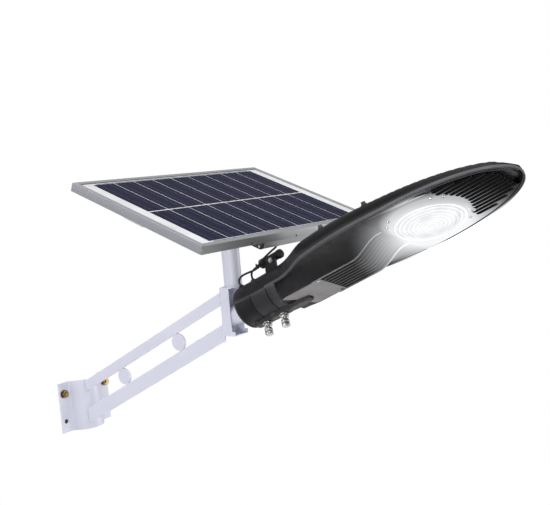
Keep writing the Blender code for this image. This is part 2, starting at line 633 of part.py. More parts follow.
def build_collar_clamp(head):
    """Reducer sleeve, saddle and the two clamp bolts with their lock nuts."""
    bore, outer = SPIGOT_RADIUS + GAP, COLLAR_BORE - GAP
    outline = arc((0, 0), outer, -90 + SLEEVE_SLOT, 270 - SLEEVE_SLOT, 36)
    outline += arc((0, 0), bore, 270 - 2 * SLEEVE_SLOT, -90 + 2 * SLEEVE_SLOT, 36)
    prism("reducer_sleeve", outline, *SLEEVE_S, "aluminium", "x", head, 35)
    seat = bore + 0.05
    edge = math.degrees(math.asin(SADDLE_HALF / seat))
    saddle = arc((0, 0), seat, 270 - edge, 270 + edge, 10)
    saddle += [(SADDLE_HALF, SADDLE_Z), (-SADDLE_HALF, SADDLE_Z)]
    prism("clamp_saddle", saddle, *SADDLE_S, "zinc", "x", head)
    shank = SADDLE_Z - GAP - CLAMP_HEAD_Z
    for label, s in zip(("rear", "front"), CLAMP_BOLT_S):
        hex_bolt(f"clamp_bolt_{label}", BOLT_RADIUS, 13, CLAMP_HEAD_HIGH, shank, "stainless",
                 (s, 0, CLAMP_HEAD_Z), (0, 0, -1), head)
        hex_nut(f"clamp_locknut_{label}", BOLT_RADIUS + GAP, 13, 6.5, "stainless",
                (s, 0, KEEL_Z - GAP), (0, 0, -1), head)


def inner_half_width(s):
    """Half width that is free between the housing's walls at its rim."""
    return abs(crown_section(s, 1)[0][1]) - 1


def bulge_section(s, lift, steps=8):
    """Underside of the driver cover from rim to rim, raised by its wall for the inside."""
    depth = BULGE_Z + (RIM_Z - 1.5 - BULGE_Z) * blend(RAMP_START, COVER_END, s)
    rim = rim_height(s) - GAP
    edge = inner_half_width(s)
    flat = min(BULGE_HALF_WIDTH, edge - 3) - lift
    half = []
    for k in range(steps + 1):
        t = k / steps
        y = edge - lift * 1.2 - (edge - lift * 1.2 - flat) * t
        drop = t ** 1.7
        half.append((y, rim + lift + (depth - rim) * drop))
    return [(s, y, z) for y, z in half] + [(s, -y, z) for y, z in half[::-1]]


def build_driver_cover(head):
    """Smooth bulge over the driver, ramping up to the lens plate."""
    wall = 2.5
    count = 20
    sections = []
    for k in range(count + 1):
        s = COVER_START + (COVER_END - COVER_START) * k / count
        sections.append(bulge_section(s, 0) + bulge_section(s, wall)[::-1])
    add_mesh("driver_cover", loft_mesh(sections), "charcoal", head, smooth=35)
    for side, label in ((-1, "left"), (1, "right")):
        rod(f"cover_screw_{label}", 2.6, BULGE_Z - GAP - 1.6, BULGE_Z - GAP, "stainless",
            (COVER_SCREW_S, side * COVER_SCREW_Y, 0), (0, 0, 1), head, count=16)


def build_driver(head):
    block("led_driver", DRIVER_S, (-DRIVER_HALF, DRIVER_HALF), DRIVER_Z, "aluminium", head)


def lens_plate_outline():
    """Leaf outline of the tip, inside the housing wall, as (s, y)."""
    start = COVER_END + GAP
    end = HEAD_LENGTH - SHELL - LENS_PLATE_MARGIN
    half = []
    for k in range(25):
        s = start + (end - start) * math.sin(math.pi / 2 * k / 24)
        half.append((s, inner_half_width(s) if k < 24 else 0))
    return half + [(s, -y) for s, y in half[-2::-1]]


def build_lens_plate(head):
    """Cast plate with the lens opening and the cooling slots behind the tip."""
    low = RIM_Z - GAP
    plate = prism("lens_plate", lens_plate_outline(), low, low + LENS_PLATE_THICK, "charcoal", "z",
                  head)
    opening = LENS_RADIUS + BEZEL_WIDTH + GAP
    hole = rod("cut_lens_hole", opening, -30, 5, "charcoal", (LENS_S, 0, 0), (0, 0, 1), head,
               count=64)
    boolean(plate, hole, "DIFFERENCE")
    for k in range(SLOT_COUNT):
        y = (k - (SLOT_COUNT - 1) / 2) * SLOT_PITCH
        start = LENS_S + math.sqrt((LENS_RADIUS + BEZEL_WIDTH + 6) ** 2 - y * y)
        end = SLOT_END - 0.012 * y * y
        slot = block(f"cut_slot_{k}", (start, end), (y - SLOT_HALF, y + SLOT_HALF),
                     (low - 2, low + SLOT_DEPTH), "charcoal", head)
        boolean(plate, slot, "DIFFERENCE")


def build_optics(head):
    """Heat spreader, chip, reflector, glass lens with its gasket and bezel, from the top down."""
    centre, up = (LENS_S, 0, 0), (0, 0, 1)
    rod("heat_spreader", SPREADER_RADIUS, GAP, SPREADER_THICK, "aluminium", centre, up, head,
        count=48)
    block("cob_led", (LENS_S - CHIP_HALF, LENS_S + CHIP_HALF), (-CHIP_HALF, CHIP_HALF), (-2, 0),
          "phosphor", head)
    cone = [(CHIP_HALF, -3.3), (CHIP_HALF + 2, -2.3), (LENS_RADIUS - 2, -14.7),
            (LENS_RADIUS - 2, -15.9)]
    turned("reflector", cone, "reflector", centre, up, 64, head)
    seat = RIM_Z - GAP
    gasket_low = seat - 2.5
    ring("lens_gasket", LENS_RADIUS - 6, LENS_RADIUS, gasket_low, gasket_low + 1.2, "rubber",
         centre, up, head, 64)
    top = gasket_low - GAP
    edge, dome_radius = top - LENS_WALL, LENS_RADIUS - 3.5
    dome = [(LENS_RADIUS, top), (LENS_RADIUS, edge), (dome_radius, edge)]
    inner = []
    for k in range(1, 7):
        turn = math.pi / 2 * k / 6
        radius = dome_radius * math.cos(turn) if k < 6 else 0.0
        dome.append((radius, edge - LENS_RISE * math.sin(turn)))
        inner.append((max(radius - LENS_WALL, 0.0), top - LENS_RISE * math.sin(turn)))
    turned("lens", [(0, inner[-1][1])] + inner[-2::-1] + [(LENS_RADIUS - 5, top)] + dome, "glass",
           centre, up, 64, head)
    outer = LENS_RADIUS + BEZEL_WIDTH
    profile = [(LENS_RADIUS + GAP, seat + 2), (outer, seat + 2), (outer, seat - 4),
               (LENS_RADIUS + 3, top - 5), (LENS_RADIUS - 2.0, top - 5),
               (LENS_RADIUS - 2.0, edge - GAP), (LENS_RADIUS + GAP, edge - GAP)]
    turned("lens_bezel", profile, "charcoal", centre, up, 64, head)


def build_grommets(head):
    base = COLLAR_RADIUS + GAP
    for name, (s, around) in GROMMETS.items():
        out = (0, math.cos(math.radians(around)), math.sin(math.radians(around)))
        profile = [(0, base), (GROMMET_RADIUS, base), (GROMMET_RADIUS, GROMMET_TOP - 1),
                   (GROMMET_RADIUS - 1.2, GROMMET_TOP), (0, GROMMET_TOP)]
        turned(name, profile, "rubber", (s, 0, 0), out, 20, head)


# ---------------------------------------------------------------- leads
def build_leads(head_turn, head):
    """Panel lead and its loop into the collar, and a pigtail with a capped socket."""
    lead("panel_lead", PANEL_LEAD)
    lead("collar_lead", COLLAR_LEAD)
    lead("pigtail_lead", PIGTAIL_LEAD)
    along = Vector(COLLAR_LEAD[0]) - Vector(PANEL_LEAD[-1])
    half = along.length / 2 - 3 * GAP
    rod("lead_tie", 3.2, -half, half, "black_plastic", LEAD_TIE, along.normalized(), count=16)
    place = Matrix.Translation(Vector(HEAD_ORIGIN)) @ head_turn @ Matrix.Translation(
        Vector(SOCKET_ORIGIN))
    socket = empty("socket_frame", place.translation, head_turn)
    axis = (1, 0, 0)
    zero = (0, 0, 0)
    turned("socket_boot", [(0, 0), (3.2, 0), (6.2, 6 - GAP), (0, 6 - GAP)], "rubber", zero, axis,
           20, socket)
    ring("socket_nut", 5.0, 8.5, 6, 20, "black_plastic", zero, axis, socket, 24)
    body = [(0, 6.3), (4.7, 6.3), (4.7, 20 + GAP), (7.2, 20 + GAP)]
    for k in range(5):
        start = 22 + 4.6 * k
        body += [(7.2, start), (6.2, start + 0.8), (6.2, start + 2.4), (7.2, start + 3.2)]
    body += [(7.2, 46 - GAP), (0, 46 - GAP)]
    turned("socket_body", body, "black_plastic", zero, axis, 20, socket)
    cap = [(0, 46), (7.8, 46), (7.8, 53), (6.6, 54.5), (0, 54.5)]
    turned("socket_cap", cap, "rubber", zero, axis, 24, socket)


def main():
    clear_scene()
    build_clamp_plate()
    build_plate_bolts()
    build_arm()
    build_end_bracket()
    build_post()

    hinge = empty("tilt_pivot", (POST_X, 0, HINGE_Z), Matrix.Rotation(math.radians(PANEL_TILT), 4, "Y"))
    build_frame(hinge)
    build_laminate(hinge)
    build_tilt_bracket(hinge)
    build_battery_box(hinge)

    head_turn = Matrix.Rotation(math.radians(-HEAD_RISE), 4, "Y") \
        @ Matrix.Rotation(math.radians(HEAD_ROLL), 4, "X")
    head = empty("roll_pivot", HEAD_ORIGIN, head_turn)
    build_spigot(head)
    build_upper_housing(head)
    build_collar_lower(head)
    build_collar_clamp(head)
    build_driver_cover(head)
    build_driver(head)
    build_lens_plate(head)
    build_optics(head)
    build_grommets(head)
    build_leads(head_turn, head)


main()
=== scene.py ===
"""Looks of the solar street lamp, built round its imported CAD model.

Sizes inside the functions are millimetres in the frame of the part they belong to: the world's, the
panel's tilt frame (X down the slope, Z out of the glass) or the head's collar frame (X from the
collar's end to the tip, Z out of the top). WORLD, PANEL and HEAD turn those frames into metres.
"""
import json
import math

import bmesh
import bpy
from mathutils import Matrix, Vector, noise


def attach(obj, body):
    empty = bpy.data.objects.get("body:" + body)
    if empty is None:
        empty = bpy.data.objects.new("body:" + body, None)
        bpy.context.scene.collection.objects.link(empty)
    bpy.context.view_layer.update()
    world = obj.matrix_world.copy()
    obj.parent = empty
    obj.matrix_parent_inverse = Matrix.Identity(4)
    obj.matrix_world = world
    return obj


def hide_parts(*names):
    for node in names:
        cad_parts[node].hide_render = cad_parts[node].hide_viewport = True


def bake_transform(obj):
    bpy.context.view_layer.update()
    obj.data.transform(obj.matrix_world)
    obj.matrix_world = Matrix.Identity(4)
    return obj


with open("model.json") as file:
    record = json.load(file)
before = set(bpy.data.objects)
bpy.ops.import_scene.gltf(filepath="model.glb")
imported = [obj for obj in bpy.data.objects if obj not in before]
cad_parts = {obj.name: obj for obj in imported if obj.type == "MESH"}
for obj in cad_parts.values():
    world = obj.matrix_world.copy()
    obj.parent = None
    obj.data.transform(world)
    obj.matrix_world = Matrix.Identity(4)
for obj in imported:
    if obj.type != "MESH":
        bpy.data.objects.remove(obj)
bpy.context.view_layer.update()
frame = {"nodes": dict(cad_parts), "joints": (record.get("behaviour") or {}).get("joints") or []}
MM = 0.001


def joint(name):
    return next(j for j in frame["joints"] if j["name"] == name)


PANEL_TILT, HEAD_ROLL = math.radians(22.4), math.radians(-22.0)
ROLL_AXIS = Vector(joint("head_roll")["axis"])
HEAD_RISE = math.atan2(ROLL_AXIS.z, ROLL_AXIS.x)
WORLD = Matrix.Scale(MM, 4)
PANEL = Matrix.Translation(joint("panel_tilt")["pos_m"]) @ Matrix.Rotation(PANEL_TILT, 4, "Y") @ WORLD
HEAD = Matrix.Translation(joint("head_roll")["pos_m"]) @ Matrix.Rotation(-HEAD_RISE, 4, "Y") \
    @ Matrix.Rotation(HEAD_ROLL, 4, "X") @ WORLD

# Head sizes, as the CAD has them
HEAD_LENGTH, HEAD_HALF, WIDEST_S = 541.0, 89.0, 340.0
COLLAR_RADIUS, COLLAR_BORE, COLLAR_LENGTH = 37.4, 33.0, 85.0
RIM_Z, SHELL, GAP = -14.6, 3.2, 0.3
OUTLINE_POWER, NECK_BLEND = 2.0, 105.0
COLLAR_SPLIT_Z, RIM_LEVEL_S = -2.2, 360.0
CROWN_START, CROWN_END, CROWN_STEPS = 52.0, 12.0, 40
COVER_START, COVER_END, RAMP_START, RAMP_END = 95.3, 318.0, 256.0, 309.0
BULGE_HALF, BULGE_Z, KEEL_Z = 34.5, -36.0, -43.0
LENS_S, LENS_RADIUS, BEZEL_RADIUS = 384.0, 53.0, 60.0
FIN_START, FIN_END, FIN_PITCH, FIN_DEPTH = 296.0, 534.0, 13.0, 3.0

# Leads: the routes of the CAD, in millimetres in the world frame
LEAD_RADIUS = 1.8
PANEL_LEAD = [(515.3, -6.0, 304.6), (512.2, -6.2, 301.0), (505.8, -6.1, 297.0), (495.8, -5.0, 290.6),
              (483.6, -2.4, 282.6), (474.3, -0.5, 274.9), (469.2, 0.6, 269.4)]
COLLAR_LEAD = [(465.5, 1.0, 266.2), (460.8, 0.6, 263.4), (455.8, -0.8, 261.4), (450.9, -2.5, 259.7),
               (446.0, -4.4, 257.9), (441.3, -6.4, 255.8), (437.0, -8.3, 252.9),
               (433.8, -9.7, 248.7), (433.0, -10.0, 243.3), (434.5, -9.1, 238.1)]
PIGTAIL_LEAD = [(461.2, 12.1, 268.7), (458.1, 12.0, 267.2), (455.0, 11.6, 265.5),
                (452.3, 10.7, 263.6), (450.2, 9.2, 261.2), (449.3, 7.1, 258.6), (449.7, 4.9, 256.0),
                (451.0, 2.9, 253.5), (452.6, 1.4, 250.9), (454.2, 0.6, 248.1)]

# Camera: about level with the head, off its tip and to the -Y side
CAMERA_PLACE = (1.4479, -1.2751, 0.4357)
CAMERA_FORWARD, CAMERA_UP = (-0.5914, 0.8013, -0.09), (0.0157, 0.123, 0.9923)
CAMERA_LENS = 62.39

FLOOR_Z, FLOOR_RADIUS = -2.5, 2.2
SURROUND_LOW, SURROUND_HIGH = 0.38, 0.74      # light from below and from above


# ---- camera, lights and stage
def place_new(name, data):
    """An object of this data, in the scene."""
    made = bpy.data.objects.new(name, data)
    bpy.context.scene.collection.objects.link(made)
    return made


def add_camera():
    data = bpy.data.cameras.new("camera")
    data.sensor_width = 36.0
    data.lens = CAMERA_LENS
    camera = place_new("camera", data)
    forward = Vector(CAMERA_FORWARD).normalized()
    right = forward.cross(Vector(CAMERA_UP)).normalized()
    turn = Matrix((right, right.cross(forward), -forward)).transposed().to_4x4()
    camera.matrix_world = Matrix.Translation(CAMERA_PLACE) @ turn
    bpy.context.scene.camera = camera


def add_softbox(name, place, aim, size, power):
    """Round area light at a place, pointed at another."""
    data = bpy.data.lights.new(name, "AREA")
    data.shape = "DISK"
    data.size = size
    data.energy = power
    light = place_new(name, data)
    light.location = place
    light.rotation_euler = (Vector(aim) - Vector(place)).to_track_quat("-Z", "Y").to_euler()


def add_sun(name, travel, strength, spread):
    data = bpy.data.lights.new(name, "SUN")
    data.energy = strength
    data.angle = math.radians(spread)
    light = place_new(name, data)
    light.rotation_euler = Vector(travel).to_track_quat("-Z", "Y").to_euler()


def add_stage():
    """Pale floor well below the lamp, soft lights, and a backdrop that looks white but lights dimly."""
    bm = bmesh.new()
    bmesh.ops.create_circle(bm, cap_ends=True, segments=96, radius=FLOOR_RADIUS)
    bmesh.ops.translate(bm, vec=(0.4, 0, FLOOR_Z), verts=bm.verts)
    mesh = bpy.data.meshes.new("floor")
    bm.to_mesh(mesh)
    bm.free()
    floor = place_new("floor", mesh)
    pale = Finish("floor", (0.94, 0.94, 0.94), 0.0, 1.0)
    pale.set("Specular IOR Level", 0.0)
    mesh.materials.append(pale.material)
    world = bpy.data.worlds.new("surround")
    world.use_nodes = True
    tree = world.node_tree
    back = tree.nodes["Background"]
    back.inputs["Color"].default_value = (1.0, 1.0, 1.0, 1.0)
    height = add_node(tree, "SeparateXYZ", {"Vector": add_node(tree, "TexCoord", output="Generated")}, "Z")
    dim = map_range(tree, height, SURROUND_LOW, SURROUND_HIGH, -0.6, 0.7)
    seen = add_node(tree, "LightPath", output="Is Camera Ray")
    give(tree, back.inputs["Strength"], map_range(tree, seen, dim, 1.0, 0.0, 1.0))
    bpy.context.scene.world = world
    bpy.context.scene.view_settings.view_transform = "Standard"
    add_sun("overhead", (0.05, 0.1, -1.0), 2.4, 70)
    add_softbox("key", (-1.1, -2.2, 0.9), (0.2, 0.0, 0.2), 1.2, 11)
    add_softbox("side", (2.8, -0.7, 0.1), (0.45, 0.0, 0.25), 1.0, 8)
    add_softbox("far_side", (1.5, 1.9, -0.2), (0.0, 0.0, 0.0), 0.9, 14)
    add_softbox("tip", (1.6, -0.42, 1.65), (0.93, 0.0, 0.42), 0.35, 12)
    add_softbox("bracket", (0.74, -0.74, 0.12), (0.40, -0.02, 0.17), 0.22, 2.2)


# ---- materials
def give(tree, socket, value):
    """Set an input of a node to a value, or link an output to it."""
    if isinstance(value, bpy.types.NodeSocket):
        tree.links.new(value, socket)
    else:
        socket.default_value = value


def add_node(tree, kind, inputs=(), output=0, **settings):
    """An output of a new shader node with these inputs and settings."""
    made = tree.nodes.new("ShaderNode" + kind)
    for name, value in settings.items():
        setattr(made, name, value)
    for key, value in dict(inputs).items():
        give(tree, made.inputs[key], value)
    return made.outputs[output]


def map_range(tree, value, low, high, start, end):
    """What runs from low to high while the value runs from start to end."""
    return add_node(tree, "MapRange", {"Value": value, "From Min": start, "From Max": end,
                                       "To Min": low, "To Max": high})


class Finish:
    """A Principled material, with procedural detail laid out in the object's own space."""

    def __init__(self, name, colour, metallic, roughness):
        self.material = bpy.data.materials.new(name)
        self.material.use_nodes = True
        self.tree = self.material.node_tree
        self.shader = self.tree.nodes["Principled BSDF"]
        self.set("Base Color", (*colour, 1.0))
        self.set("Metallic", metallic)
        self.set("Roughness", roughness)
        self.place = self.node("TexCoord", output="Object")
        self.normal = None

    def set(self, socket, value):
        give(self.tree, self.shader.inputs[socket], value)

    def node(self, kind, inputs=(), output=0, **settings):
        return add_node(self.tree, kind, inputs, output, **settings)

    def noise(self, scale, detail=2.0, stretch=None, turn=(0.0, 0.0, 0.0)):
        """Noise with this many features to a metre; stretch makes it long along an axis."""
        source = self.place
        if stretch:
            spun = self.node("Mapping", {"Vector": source, "Rotation": turn})
            source = self.node("Mapping", {"Vector": spun, "Scale": stretch})
        return self.node("TexNoise", {"Vector": source, "Scale": scale, "Detail": detail})

    def range(self, value, low, high, start=0.3, end=0.7):
        return map_range(self.tree, value, low, high, start, end)

    def mix(self, share, *colours):
        """Colour between two: each a colour or an output."""
        first, second = [(*c, 1.0) if isinstance(c, tuple) else c for c in colours]
        return self.node("Mix", {"Factor": share, 6: first, 7: second}, 2, data_type="RGBA")

    def mottle(self, scale, detail, first, second):
        """Colour that wanders between two."""
        return self.mix(self.range(self.noise(scale, detail), 0.0, 1.0), first, second)

    def colour(self, output):
        self.set("Base Color", output)

    def roughness(self, value, low, high):
        self.set("Roughness", self.range(value, low, high))

    def bump(self, height, distance, strength=1.0):
        """Adds relief of this height in metres over what is there already."""
        inputs = {"Strength": strength, "Distance": distance, "Height": height}
        if self.normal:
            inputs["Normal"] = self.normal
        self.normal = self.node("Bump", inputs)
        self.set("Normal", self.normal)

    def edges(self, low=0.52, high=0.62):
        """1 along convex edges, 0 on flats."""
        return self.range(self.node("NewGeometry", output="Pointiness"), 0.0, 1.0, low, high)

    def math(self, operation, first, second):
        """Result of arithmetic on outputs or numbers."""
        return self.node("Math", {0: first, 1: second}, operation=operation)

    def distance(self, *point):
        """Distance in metres from a point of the head in its rest pose."""
        centre = tuple(HEAD @ Vector(point))
        return self.node("VectorMath", {0: self.place, 1: centre}, "Value", operation="DISTANCE")

    def under_glass(self):
        """The material with all its gloss in a clear coat."""
        self.set("Specular IOR Level", 0.0)
        self.set("Coat Weight", 0.14)
        self.set("Coat Roughness", 0.07)
        return self.material


def painted(name):
    """Semi-gloss powder coat, white with a faint lavender tint."""
    made = Finish(name, (0.60, 0.60, 0.71), 0.0, 0.42)
    base = made.mottle(11.0, 4.0, (0.57, 0.575, 0.685), (0.62, 0.625, 0.735))
    # convex edges are mixed to a lighter colour: a painted highlight along them
    made.colour(made.mix(made.edges(), base, (0.70, 0.70, 0.80)))
    made.roughness(made.noise(60.0, 3.0), 0.36, 0.5)
    made.bump(made.noise(420.0, 2.0), 0.00022, 0.5)
    made.bump(made.noise(1800.0, 1.0), 0.00006, 0.5)
    made.set("Coat Weight", 0.12)
    made.set("Coat Roughness", 0.25)
    return made.material


def cast_charcoal(name, dark=(0.0065, 0.0063, 0.0072), light=(0.014, 0.0136, 0.0155), glow=0.0,
                  tip=None):
    """Textured powder coat on die-cast aluminium; glow is the lens's spill of light on it, and tip the
    darker colour that it takes away from the collar, a painted shade towards the head's tip."""
    made = Finish(name, dark, 0.0, 0.45)
    base = made.mottle(35.0, 5.0, dark, light)
    # darker with distance from the collar towards the tip: a painted shade
    if tip:
        base = made.mix(made.range(made.distance(0, 0, 0), 0.0, 1.0, 0.12, 0.34), base, tip)
    # convex edges are mixed to a much lighter grey: a painted highlight along them
    made.colour(made.mix(made.edges(0.53, 0.66), base, (0.10, 0.098, 0.104)))
    made.roughness(made.noise(90.0, 3.0), 0.38, 0.56)
    made.bump(made.noise(1400.0, 3.0), 0.0001, 0.45)
    made.bump(made.noise(170.0, 2.0), 0.00012, 0.35)
    made.set("Specular IOR Level", 0.16)
    if glow:
        wide = made.distance(LENS_S - 16, 42, RIM_Z - 6)
        close = made.distance(LENS_S - 4, 2, RIM_Z - 6)
        spill = made.math("POWER", made.range(wide, 0.95, 0.0, 0.05, 0.14), 1.7)
        halo = made.math("POWER", made.range(close, 0.85, 0.0, 0.058, 0.088), 1.4)
        both = made.math("MAXIMUM", spill, halo)
        made.set("Emission Strength", made.math("MULTIPLY", both, glow))
        made.set("Emission Color", (0.96, 0.98, 1.0, 1.0))
    return made.material


def brushed(name, colour, stretch, turn=(0.0, 0.0, 0.0), metallic=0.75, rough=(0.32, 0.5)):
    """Extruded or rolled metal with fine lines along one direction."""
    made = Finish(name, colour, metallic, 0.4)
    lines = made.noise(1.0, 3.0, stretch, turn)
    darker = tuple(0.86 * c for c in colour)
    made.colour(made.mix(made.range(lines, 0.0, 1.0), darker, colour))
    made.roughness(made.noise(1.0, 2.0, stretch, turn), *rough)
    made.bump(lines, 0.00005, 0.5)
    made.bump(made.noise(45.0, 3.0), 0.0001, 0.2)
    return made.material


def plated(name, colour, other, rough=(0.16, 0.34)):
    """Plated or bright steel hardware with a mottled sheen and small handling marks."""
    made = Finish(name, colour, 1.0, 0.25)
    made.colour(made.mottle(140.0, 4.0, colour, other))
    made.roughness(made.noise(300.0, 4.0), *rough)
    made.bump(made.noise(900.0, 3.0), 0.00004, 0.5)
    return made.material


def moulded(name, colour, rough, grain=1600.0, depth=0.00008):
    """Moulded plastic or rubber with a fine even grain."""
    made = Finish(name, colour, 0.0, rough)
    pale = tuple(min(1.0, 1.7 * c + 0.004) for c in colour)
    made.colour(made.mottle(70.0, 4.0, colour, pale))
    made.roughness(made.noise(200.0, 2.0), rough - 0.07, rough + 0.08)
    made.bump(made.noise(grain, 2.0), depth, 0.6)
    return made.material


def cell_material():
    """Polycrystalline cells: grains of slightly different blue under solar glass."""
    made = Finish("cells", (0.012, 0.014, 0.05), 0.0, 0.35)
    crystals = made.node("TexVoronoi", {"Vector": made.node("UVMap"), "Scale": 90.0}, "Color")
    shade = made.range(made.node("SeparateColor", {"Color": crystals}), 0.0, 1.0, 0.0, 1.0)
    grain = made.mix(shade, (0.0045, 0.0048, 0.013), (0.0095, 0.0105, 0.032))
    made.colour(made.mottle(9.0, 3.0, grain, (0.0095, 0.0095, 0.027)))
    return made.under_glass()


def film_material():
    """White backing film seen between the cells, under solar glass."""
    made = Finish("backing_film", (0.31, 0.31, 0.32), 0.0, 0.5)
    made.colour(made.mottle(30.0, 3.0, (0.43, 0.43, 0.44), (0.50, 0.50, 0.51)))
    return made.under_glass()


def lens_material():
    """Lit optic: brightest in the middle, with faint rings where the prisms turn the light."""
    made = Finish("lens_lit", (0.16, 0.16, 0.165), 0.0, 0.16)
    rings = made.math("PINGPONG", made.distance(LENS_S, 0, RIM_Z - 10), 0.0031)
    glow = made.range(rings, 0.60, 0.84, 0.0016, 0.0031)
    mottled = made.math("MULTIPLY", glow, made.range(made.noise(38.0, 3.0), 0.86, 1.16))
    made.set("Emission Strength", mottled)
    made.set("Emission Color", (0.97, 0.985, 1.0, 1.0))
    made.bump(made.noise(200.0, 1.0), 0.0001, 0.3)
    return made.material


def glint_material():
    """Inner lip of the bezel, lit by the lens at its edge."""
    made = Finish("bezel_glint", (0.8, 0.8, 0.8), 0.0, 0.3)
    made.set("Emission Strength", made.range(made.noise(30.0, 2.0), 0.5, 1.6))
    made.set("Emission Color", (1.0, 1.0, 1.0, 1.0))
    made.bump(made.noise(300.0, 2.0), 0.0001, 0.3)
    return made.material


def make_materials():
    along_u = (0.0, -PANEL_TILT, 0.0)
    return {
        "paint": painted("white_paint"),
        "weld": painted("white_paint_weld"),
        "zinc": plated("zinc", (0.15, 0.10, 0.04), (0.30, 0.22, 0.10)),
        "steel": plated("stainless", (0.36, 0.355, 0.35), (0.55, 0.545, 0.54)),
        "dark_steel": plated("dark_screw", (0.10, 0.10, 0.10), (0.18, 0.18, 0.18)),
        "rail_y": brushed("anodised_long", (0.27, 0.275, 0.28), (900, 6, 900)),
        "rail_u": brushed("anodised_short", (0.29, 0.295, 0.325), (6, 900, 900), along_u),
        "mill": brushed("aluminium", (0.66, 0.67, 0.68), (700, 8, 700), metallic=1.0),
        "charcoal": cast_charcoal("charcoal"),
        "charcoal_crown_shaded_tip": cast_charcoal("charcoal_crown_shaded_tip", tip=(0.0012, 0.0012, 0.0013)),
        "charcoal_lit": cast_charcoal("charcoal_lit", glow=1.0),
        # lighter grey than the crown: a painted highlight along the rim, with the lens's glow painted on it
        "charcoal_rim_highlight": cast_charcoal("charcoal_rim_highlight", (0.045, 0.043, 0.050), (0.075, 0.072, 0.082), 2.2),
        # light grey: painted highlights on the rib field's edges, with the lens's glow painted on them
        "ridge_highlight": cast_charcoal("charcoal_ridge_highlight", (0.18, 0.18, 0.185), (0.26, 0.26, 0.265), 1.6),
        "plate_grey": cast_charcoal("satin_grey", (0.20, 0.19, 0.195), (0.25, 0.24, 0.245)),
        "black": moulded("black_plastic", (0.007, 0.007, 0.0075), 0.42),
        "rubber": moulded("rubber", (0.006, 0.006, 0.006), 0.6, 2200.0),
        "cells": cell_material(),
        "film": film_material(),
        "back": moulded("backsheet", (0.72, 0.72, 0.73), 0.5, 900.0),
        "silver": moulded("silver_print", (0.028, 0.031, 0.055), 0.5),
        "lens": lens_material(),
        "glint": glint_material(),
        "mirror": plated("reflector", (0.86, 0.86, 0.87), (0.90, 0.90, 0.90), (0.04, 0.1)),
        "chip": moulded("phosphor", (0.85, 0.72, 0.22), 0.4),
        "battery": moulded("battery_sleeve", (0.03, 0.14, 0.36), 0.35),
        "circuit": moulded("circuit_board", (0.015, 0.12, 0.05), 0.4),
    }


# ---- mesh helpers
SPACE = {None: WORLD, "arm": WORLD, "panel": PANEL, "head": HEAD}


def add(name, bm, finish, body, stands_for=(), space=None, slot=None, smooth=35.0, bevel=0.0):
    """Make a piece from a bmesh in millimetres of its body's frame, and let it ride on its body."""
    bmesh.ops.transform(bm, matrix=space or SPACE[body], verts=bm.verts)
    bmesh.ops.recalc_face_normals(bm, faces=bm.faces)
    mesh = bpy.data.meshes.new(name)
    bm.to_mesh(mesh)
    bm.free()
    piece = place_new(name, mesh)
    mesh.materials.append(FINISH[finish])
    mesh.shade_smooth()
    if bevel:
        soften(piece, bevel)
    else:
        mesh.set_sharp_from_angle(angle=math.radians(smooth))
    if body:
        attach(piece, body)
    if stands_for:
        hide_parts(*stands_for)
    return piece


def redo(node, suffix, bm, finish, body, **more):
    """A piece that stands for one CAD node and is named after it."""
    return add(f"{node}_{suffix}", bm, finish, body, (node,), **more)


def soften(piece, width):
    """Round the sharp edges by this many millimetres and keep the flats flat in the shading."""
    edge = piece.modifiers.new("edge", "BEVEL")
    edge.width = width * MM
    edge.segments = 2
    edge.limit_method = "ANGLE"
    edge.angle_limit = math.radians(32)
    piece.modifiers.new("shade", "WEIGHTED_NORMAL")


def refine(node, finish, body, bevel):
    """A softened copy of a CAD solid, which stands for it."""
    bm = bmesh.new()
    bm.from_mesh(frame["nodes"][node].data)
    bmesh.ops.remove_doubles(bm, verts=bm.verts, dist=1e-6)
    return redo(node, "finished", bm, finish, body, space=Matrix.Identity(4), bevel=bevel)


def dress(finish, *nodes):
    """Give CAD nodes that stay as they are their detailed material."""
    for node in nodes:
        slots = frame["nodes"][node].data.materials
        slots.clear()
        slots.append(FINISH[finish])


def loft(sections, bm=None, caps=True):
    """Skin closed sections of equal point count."""
    bm = bm or bmesh.new()
    rings = [[bm.verts.new(point) for point in section] for section in sections]
    count = len(rings[0])
    for ring, after in zip(rings, rings[1:]):
        for i in range(count):
            j = (i + 1) % count
            bm.faces.new((ring[i], ring[j], after[j], after[i]))
    if caps:
        bm.faces.new(rings[0][::-1])
        bm.faces.new(rings[-1])
    return bm


def slab(outline, low, high, bm=None):
    """A flat outline with a thickness."""
    return loft([[(x, y, z) for x, y in outline] for z in (low, high)], bm)


def even(low, high, steps):
    """Evenly spaced numbers from low to high."""
    return [low + (high - low) * k / steps for k in range(steps + 1)]


def closing(low, high, steps):
    """Numbers from low to high that draw together towards high."""
    return [low + (high - low) * math.sin(math.pi / 2 * k / steps) for k in range(steps + 1)]


def on_circle(x, y, radius, angles):
    """Points of a circle about (x, y) at these angles in degrees."""
    return [(x + radius * math.cos(math.radians(a)), y + radius * math.sin(math.radians(a)))
            for a in angles]


def facing(origin, along):
    """Matrix that takes Z to a direction, at an origin."""
    turn = Vector((0, 0, 1)).rotation_difference(Vector(along)).to_matrix().to_4x4()
    return Matrix.Translation(Vector(origin)) @ turn


def lathe(rows, place=None, bm=None, count=48, radius_at=None):
    """Skin of rings from (radius, height) rows; radius_at(radius, height, angle) shapes them."""
    place = place or Matrix.Identity(4)
    shape = radius_at or (lambda radius, height, angle: radius)
    sections = []
    for radius, height in rows:
        ring = []
        for i in range(count):
            angle = 2 * math.pi * i / count
            r = shape(radius, height, angle)
            ring.append(place @ Vector((r * math.cos(angle), r * math.sin(angle), height)))
        sections.append(ring)
    return loft(sections, bm)


def six_sided(flat, angle):
    """Distance from a hexagon's centre to its side, for half its width across flats."""
    lean = (angle + math.pi / 6) % (math.pi / 3) - math.pi / 6
    return flat / math.cos(lean)


